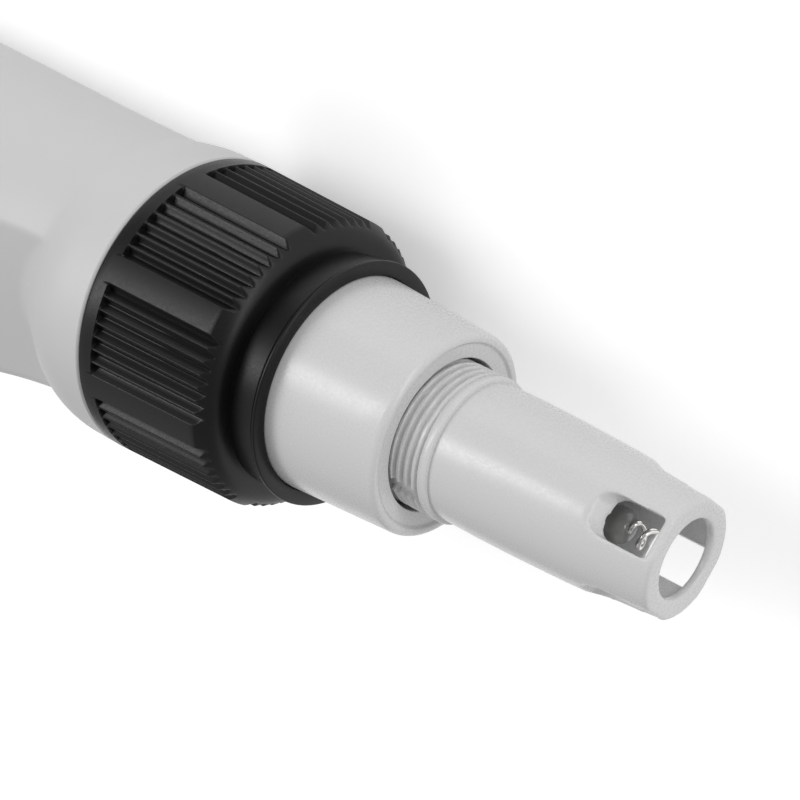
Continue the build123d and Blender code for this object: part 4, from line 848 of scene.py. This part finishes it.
class GuardOperator(bpy.types.Operator):
    """Guard tube with four soft-edged slots and a flat end ring"""

    bl_idname = "water_meter.guard"
    bl_label = "Slotted guard"

    def execute(self, context):
        sizes = context.scene.water_meter_sizes
        width, edge = sizes.slot_width / MM, sizes.slot_edge / MM
        slots, slot_roll = 4, -4.0
        # The back end reaches a little into the neck, so that no seam shows there
        start, end = 41.3, 68.36
        outer = [(start, 7.72), (46, 7.75), (50, 7.69), (53, 7.59), (55.7, 7.5), (58, 7.41),
                 (60.0, 7.28), (62.3, 7.06), (65.0, 6.84)]
        tip = with_fillets([(65.0, 6.84), (end, 6.55, 0.4), (end, 4.28, 0.2), (67.3, 4.28, 0.2),
                            (67.3, 5.2)], closed=False, segments=4)
        outline = outer + tip[1:] + [(60, 5.2), (47.11, 5.2), (47.11, 6.35), (start, 6.35)]
        guard = spun("guard_tube", outline, 120)
        for k in range(slots):
            cutter = self.slot_cutter(width)
            turn = Matrix.Rotation(radians(slot_roll - ROLL_ZERO + 360 * k / slots), 4, "X")
            to_axis = Matrix.Translation((0, 0, AXIS_Z))
            from_axis = Matrix.Translation((0, 0, -AXIS_Z))
            cutter.data.transform(to_axis @ turn @ from_axis)
            cut(guard, cutter)
        # Remeshed and smoothed, every edge of the slots is rounded to about the slot edge's radius
        voxel = 0.2
        only(guard)
        skin = guard.modifiers.new("skin", "REMESH")
        skin.mode = "VOXEL"
        skin.voxel_size = voxel * MM
        bpy.ops.object.modifier_apply(modifier=skin.name)
        soften = guard.modifiers.new("soften", "SMOOTH")
        soften.factor = 0.5
        soften.iterations = round(3 * (edge / voxel) ** 2)
        bpy.ops.object.modifier_apply(modifier=soften.name)
        finished(guard, "guard_white", "electrode_module", ["electrode_guard"], smooth=60)
        return {"FINISHED"}

    def slot_cutter(self, width):
        """Side outline of a slot, filled, drawn out to its width, its back corners rounded."""
        deep, reach, corner = 3.0, 9.0, 1.25
        side = [(58.85, reach), (60.2, 7.25), (61.5, 5.2), (61.5, deep), (67.3, deep), (67.3, 6.2),
                (69.6, 6.2), (69.6, reach)]
        deselect()
        bpy.ops.mesh.primitive_plane_add(size=MM, location=place(*side[0]))
        cutter = named("slot_cutter")
        draw_outline(side)
        bpy.ops.mesh.edge_face_add()
        bpy.ops.transform.translate(value=(0, -width / 2 * MM, 0))
        bpy.ops.mesh.extrude_region_move(TRANSFORM_OT_translate={"value": (0, width * MM, 0)})
        tidy_mesh()
        back = JOINT_X + 61.6 * MM

        def is_corner(a, b):
            along = abs(a.y - b.y) < 1e-6 and abs(a.y) > width / 2 * MM - 1e-6
            return along and max(a.x, b.x) < back and abs(a.z - b.z) > 0.1 * MM

        pick(cutter, is_corner)
        bpy.ops.mesh.bevel(offset=corner * MM, segments=5)
        bpy.ops.object.mode_set(mode="OBJECT")
        return cutter


class SensorOperator(bpy.types.Operator):
    """Glass stem and its platinum wire"""

    bl_idname = "water_meter.sensor"
    bl_label = "Sensing elements"

    def execute(self, context):
        stem = with_fillets([(17.0, 0), (17.0, 2.4), (58.6, 2.4, 0.3), (59.4, 1.9, 0.3),
                             (61.7, 1.9, 1.5), (61.7, 0)], closed=False, segments=6)
        tube = spun("stem_tube", stem, 48, closed=False)
        finished(tube, "stem_glass", "electrode_module", ["glass_stem"])
        deselect()
        bpy.ops.curve.primitive_nurbs_path_add(location=(0, 0, 0))
        wire = named("platinum_coil")
        turns, points, coil_start, coil_long, coil_r = 1.4, 18, 61.4, 2.6, 1.15
        spline = wire.data.splines[0]
        spline.points.add(points - len(spline.points))
        for k, point in enumerate(spline.points):
            share = k / (points - 1)
            angle = 2 * pi * turns * share
            radius = coil_r * min(1, 4 * share + 0.2) * MM
            aside = Vector((0, radius * sin(angle), radius * cos(angle)))
            point.co = (*(place(coil_start + coil_long * share) + aside), 1)
        spline.order_u = 4
        spline.use_endpoint_u = True
        wire.data.bevel_depth = 0.28 * MM
        wire.data.bevel_resolution = 3
        wire.data.resolution_u = 6
        wire.data.use_fill_caps = True
        bpy.ops.object.convert(target="MESH")
        only(wire)
        bpy.ops.object.mode_set(mode="EDIT")
        tidy_mesh()
        finished(wire, "platinum", "electrode_module", ["platinum_wire"], smooth=60)
        return {"FINISHED"}


class StageOperator(bpy.types.Operator):
    """Floor, soft lamps, pale surroundings and the camera"""

    bl_idname = "water_meter.stage"
    bl_label = "Studio"

    def execute(self, context):
        tints = context.scene.water_meter_colours
        deselect()
        bpy.ops.mesh.primitive_grid_add(x_subdivisions=8, y_subdivisions=8, size=6)
        floor = named("floor")
        floor_glow, air_light = 0.45, 0.45
        paper = bpy.data.materials.new("floor_paper")
        paper.use_nodes = True
        tree = paper.node_tree
        tree.nodes.clear()
        path = add_node(tree, "ShaderNodeLightPath")
        seen = add_node(tree, "ShaderNodeMath", {
            0: path.outputs["Is Camera Ray"], 1: path.outputs["Is Glossy Ray"]}, operation="MAXIMUM")
        seen = add_node(tree, "ShaderNodeMath", {
            0: seen.outputs[0], 1: path.outputs["Is Transmission Ray"]}, operation="MAXIMUM")
        sheet = add_node(tree, "ShaderNodeBsdfDiffuse", {"Color": tuple(tints.floor)})
        glow = add_node(tree, "ShaderNodeEmission", {
            "Color": (1, 1, 1, 1), "Strength": floor_glow})
        lifted = add_node(tree, "ShaderNodeAddShader", {0: sheet.outputs[0], 1: glow.outputs[0]})
        both = add_node(tree, "ShaderNodeMixShader", {
            0: seen.outputs[0], 1: sheet.outputs[0], 2: lifted.outputs[0]})
        add_node(tree, "ShaderNodeOutputMaterial", {"Surface": both.outputs[0]})
        floor.data.materials.append(paper)

        world = bpy.data.worlds.new("studio")
        world.use_nodes = True
        context.scene.world = world
        world.node_tree.nodes.clear()
        air = add_node(world.node_tree, "ShaderNodeBackground", {
            "Color": linear("FFFFFF"), "Strength": air_light})
        add_node(world.node_tree, "ShaderNodeOutputWorld", {"Surface": air.outputs[0]})

        target = Vector((0.05, 0, AXIS_Z))
        self.lamp("strip", (-0.561, 0.439, 0.703), 0.9, (0.6, 0.2), 2.6, target)
        self.lamp("overhead", (-0.45, -0.35, 0.8), 1.0, (1.1, 1.0), 0.8, target)
        self.lamp("side", (0.78, 0.6, 0.085), 0.8, (1.1, 0.16), 2.6, target)

        # The camera's place and turn, fitted to the circles of the collar, neck and guard
        camera = bpy.data.cameras.new("camera")
        camera.sensor_width = 36
        camera.lens = 106.9
        camera.clip_start = 0.01
        camera.clip_end = 20
        viewer = bpy.data.objects.new("camera", camera)
        right = Vector((0.7368, -0.0549, -0.6739))
        up = Vector((-0.3769, 0.7941, -0.4767))
        back = Vector((0.5613, 0.6053, 0.5644))
        turn = Matrix((right, up, back)).transposed().to_4x4()
        viewer.matrix_world = Matrix.Translation((0.18835, 0.152, 0.1579)) @ turn
        context.scene.collection.objects.link(viewer)
        context.scene.camera = viewer
        context.scene.view_settings.view_transform = "Standard"
        return {"FINISHED"}

    def lamp(self, name, direction, distance, size, power, target):
        """Rectangular soft lamp that faces the target from a direction."""
        data = bpy.data.lights.new(name, "AREA")
        data.shape = "RECTANGLE"
        data.size, data.size_y = size
        data.energy = power
        lamp = bpy.data.objects.new(name, data)
        away = Vector(direction).normalized()
        lamp.location = target + away * distance
        lamp.rotation_euler = away.to_track_quat("Z", "Y").to_euler()
        bpy.context.scene.collection.objects.link(lamp)
        return lamp


PIECES = (MaterialsOperator, HousingOperator, FrontOperator, KeysOperator, BatteryCapOperator,
          CollarOperator, ElectrodeShellOperator, BarrelOperator, GuardOperator, SensorOperator,
          StageOperator)


class MeterPanel(bpy.types.Panel):
    """Sidebar list of the meter's pieces"""

    bl_idname = "VIEW3D_PT_water_meter"
    bl_label = "Water meter"
    bl_space_type = "VIEW_3D"
    bl_region_type = "UI"
    bl_category = "Water meter"

    def draw(self, context):
        for group in (context.scene.water_meter_sizes, context.scene.water_meter_colours):
            for name in group.__annotations__:
                self.layout.prop(group, name)
        for piece in PIECES:
            self.layout.operator(piece.bl_idname)


CLASSES = (MeterSizes, MeterColours, *PIECES, MeterPanel)


def register():
    for item in CLASSES:
        bpy.utils.register_class(item)
    bpy.types.Scene.water_meter_sizes = PointerProperty(type=MeterSizes)
    bpy.types.Scene.water_meter_colours = PointerProperty(type=MeterColours)


def unregister():
    del bpy.types.Scene.water_meter_colours
    del bpy.types.Scene.water_meter_sizes
    for item in reversed(CLASSES):
        bpy.utils.unregister_class(item)


def main():
    register()
    bpy.ops.water_meter.materials()
    bpy.ops.water_meter.housing()
    bpy.ops.water_meter.front()
    bpy.ops.water_meter.keys()
    bpy.ops.water_meter.battery_cap()
    bpy.ops.water_meter.collar()
    bpy.ops.water_meter.electrode_shell()
    bpy.ops.water_meter.barrel()
    bpy.ops.water_meter.guard()
    bpy.ops.water_meter.sensor()
    bpy.ops.water_meter.stage()


if __name__ == "__main__":
    main()
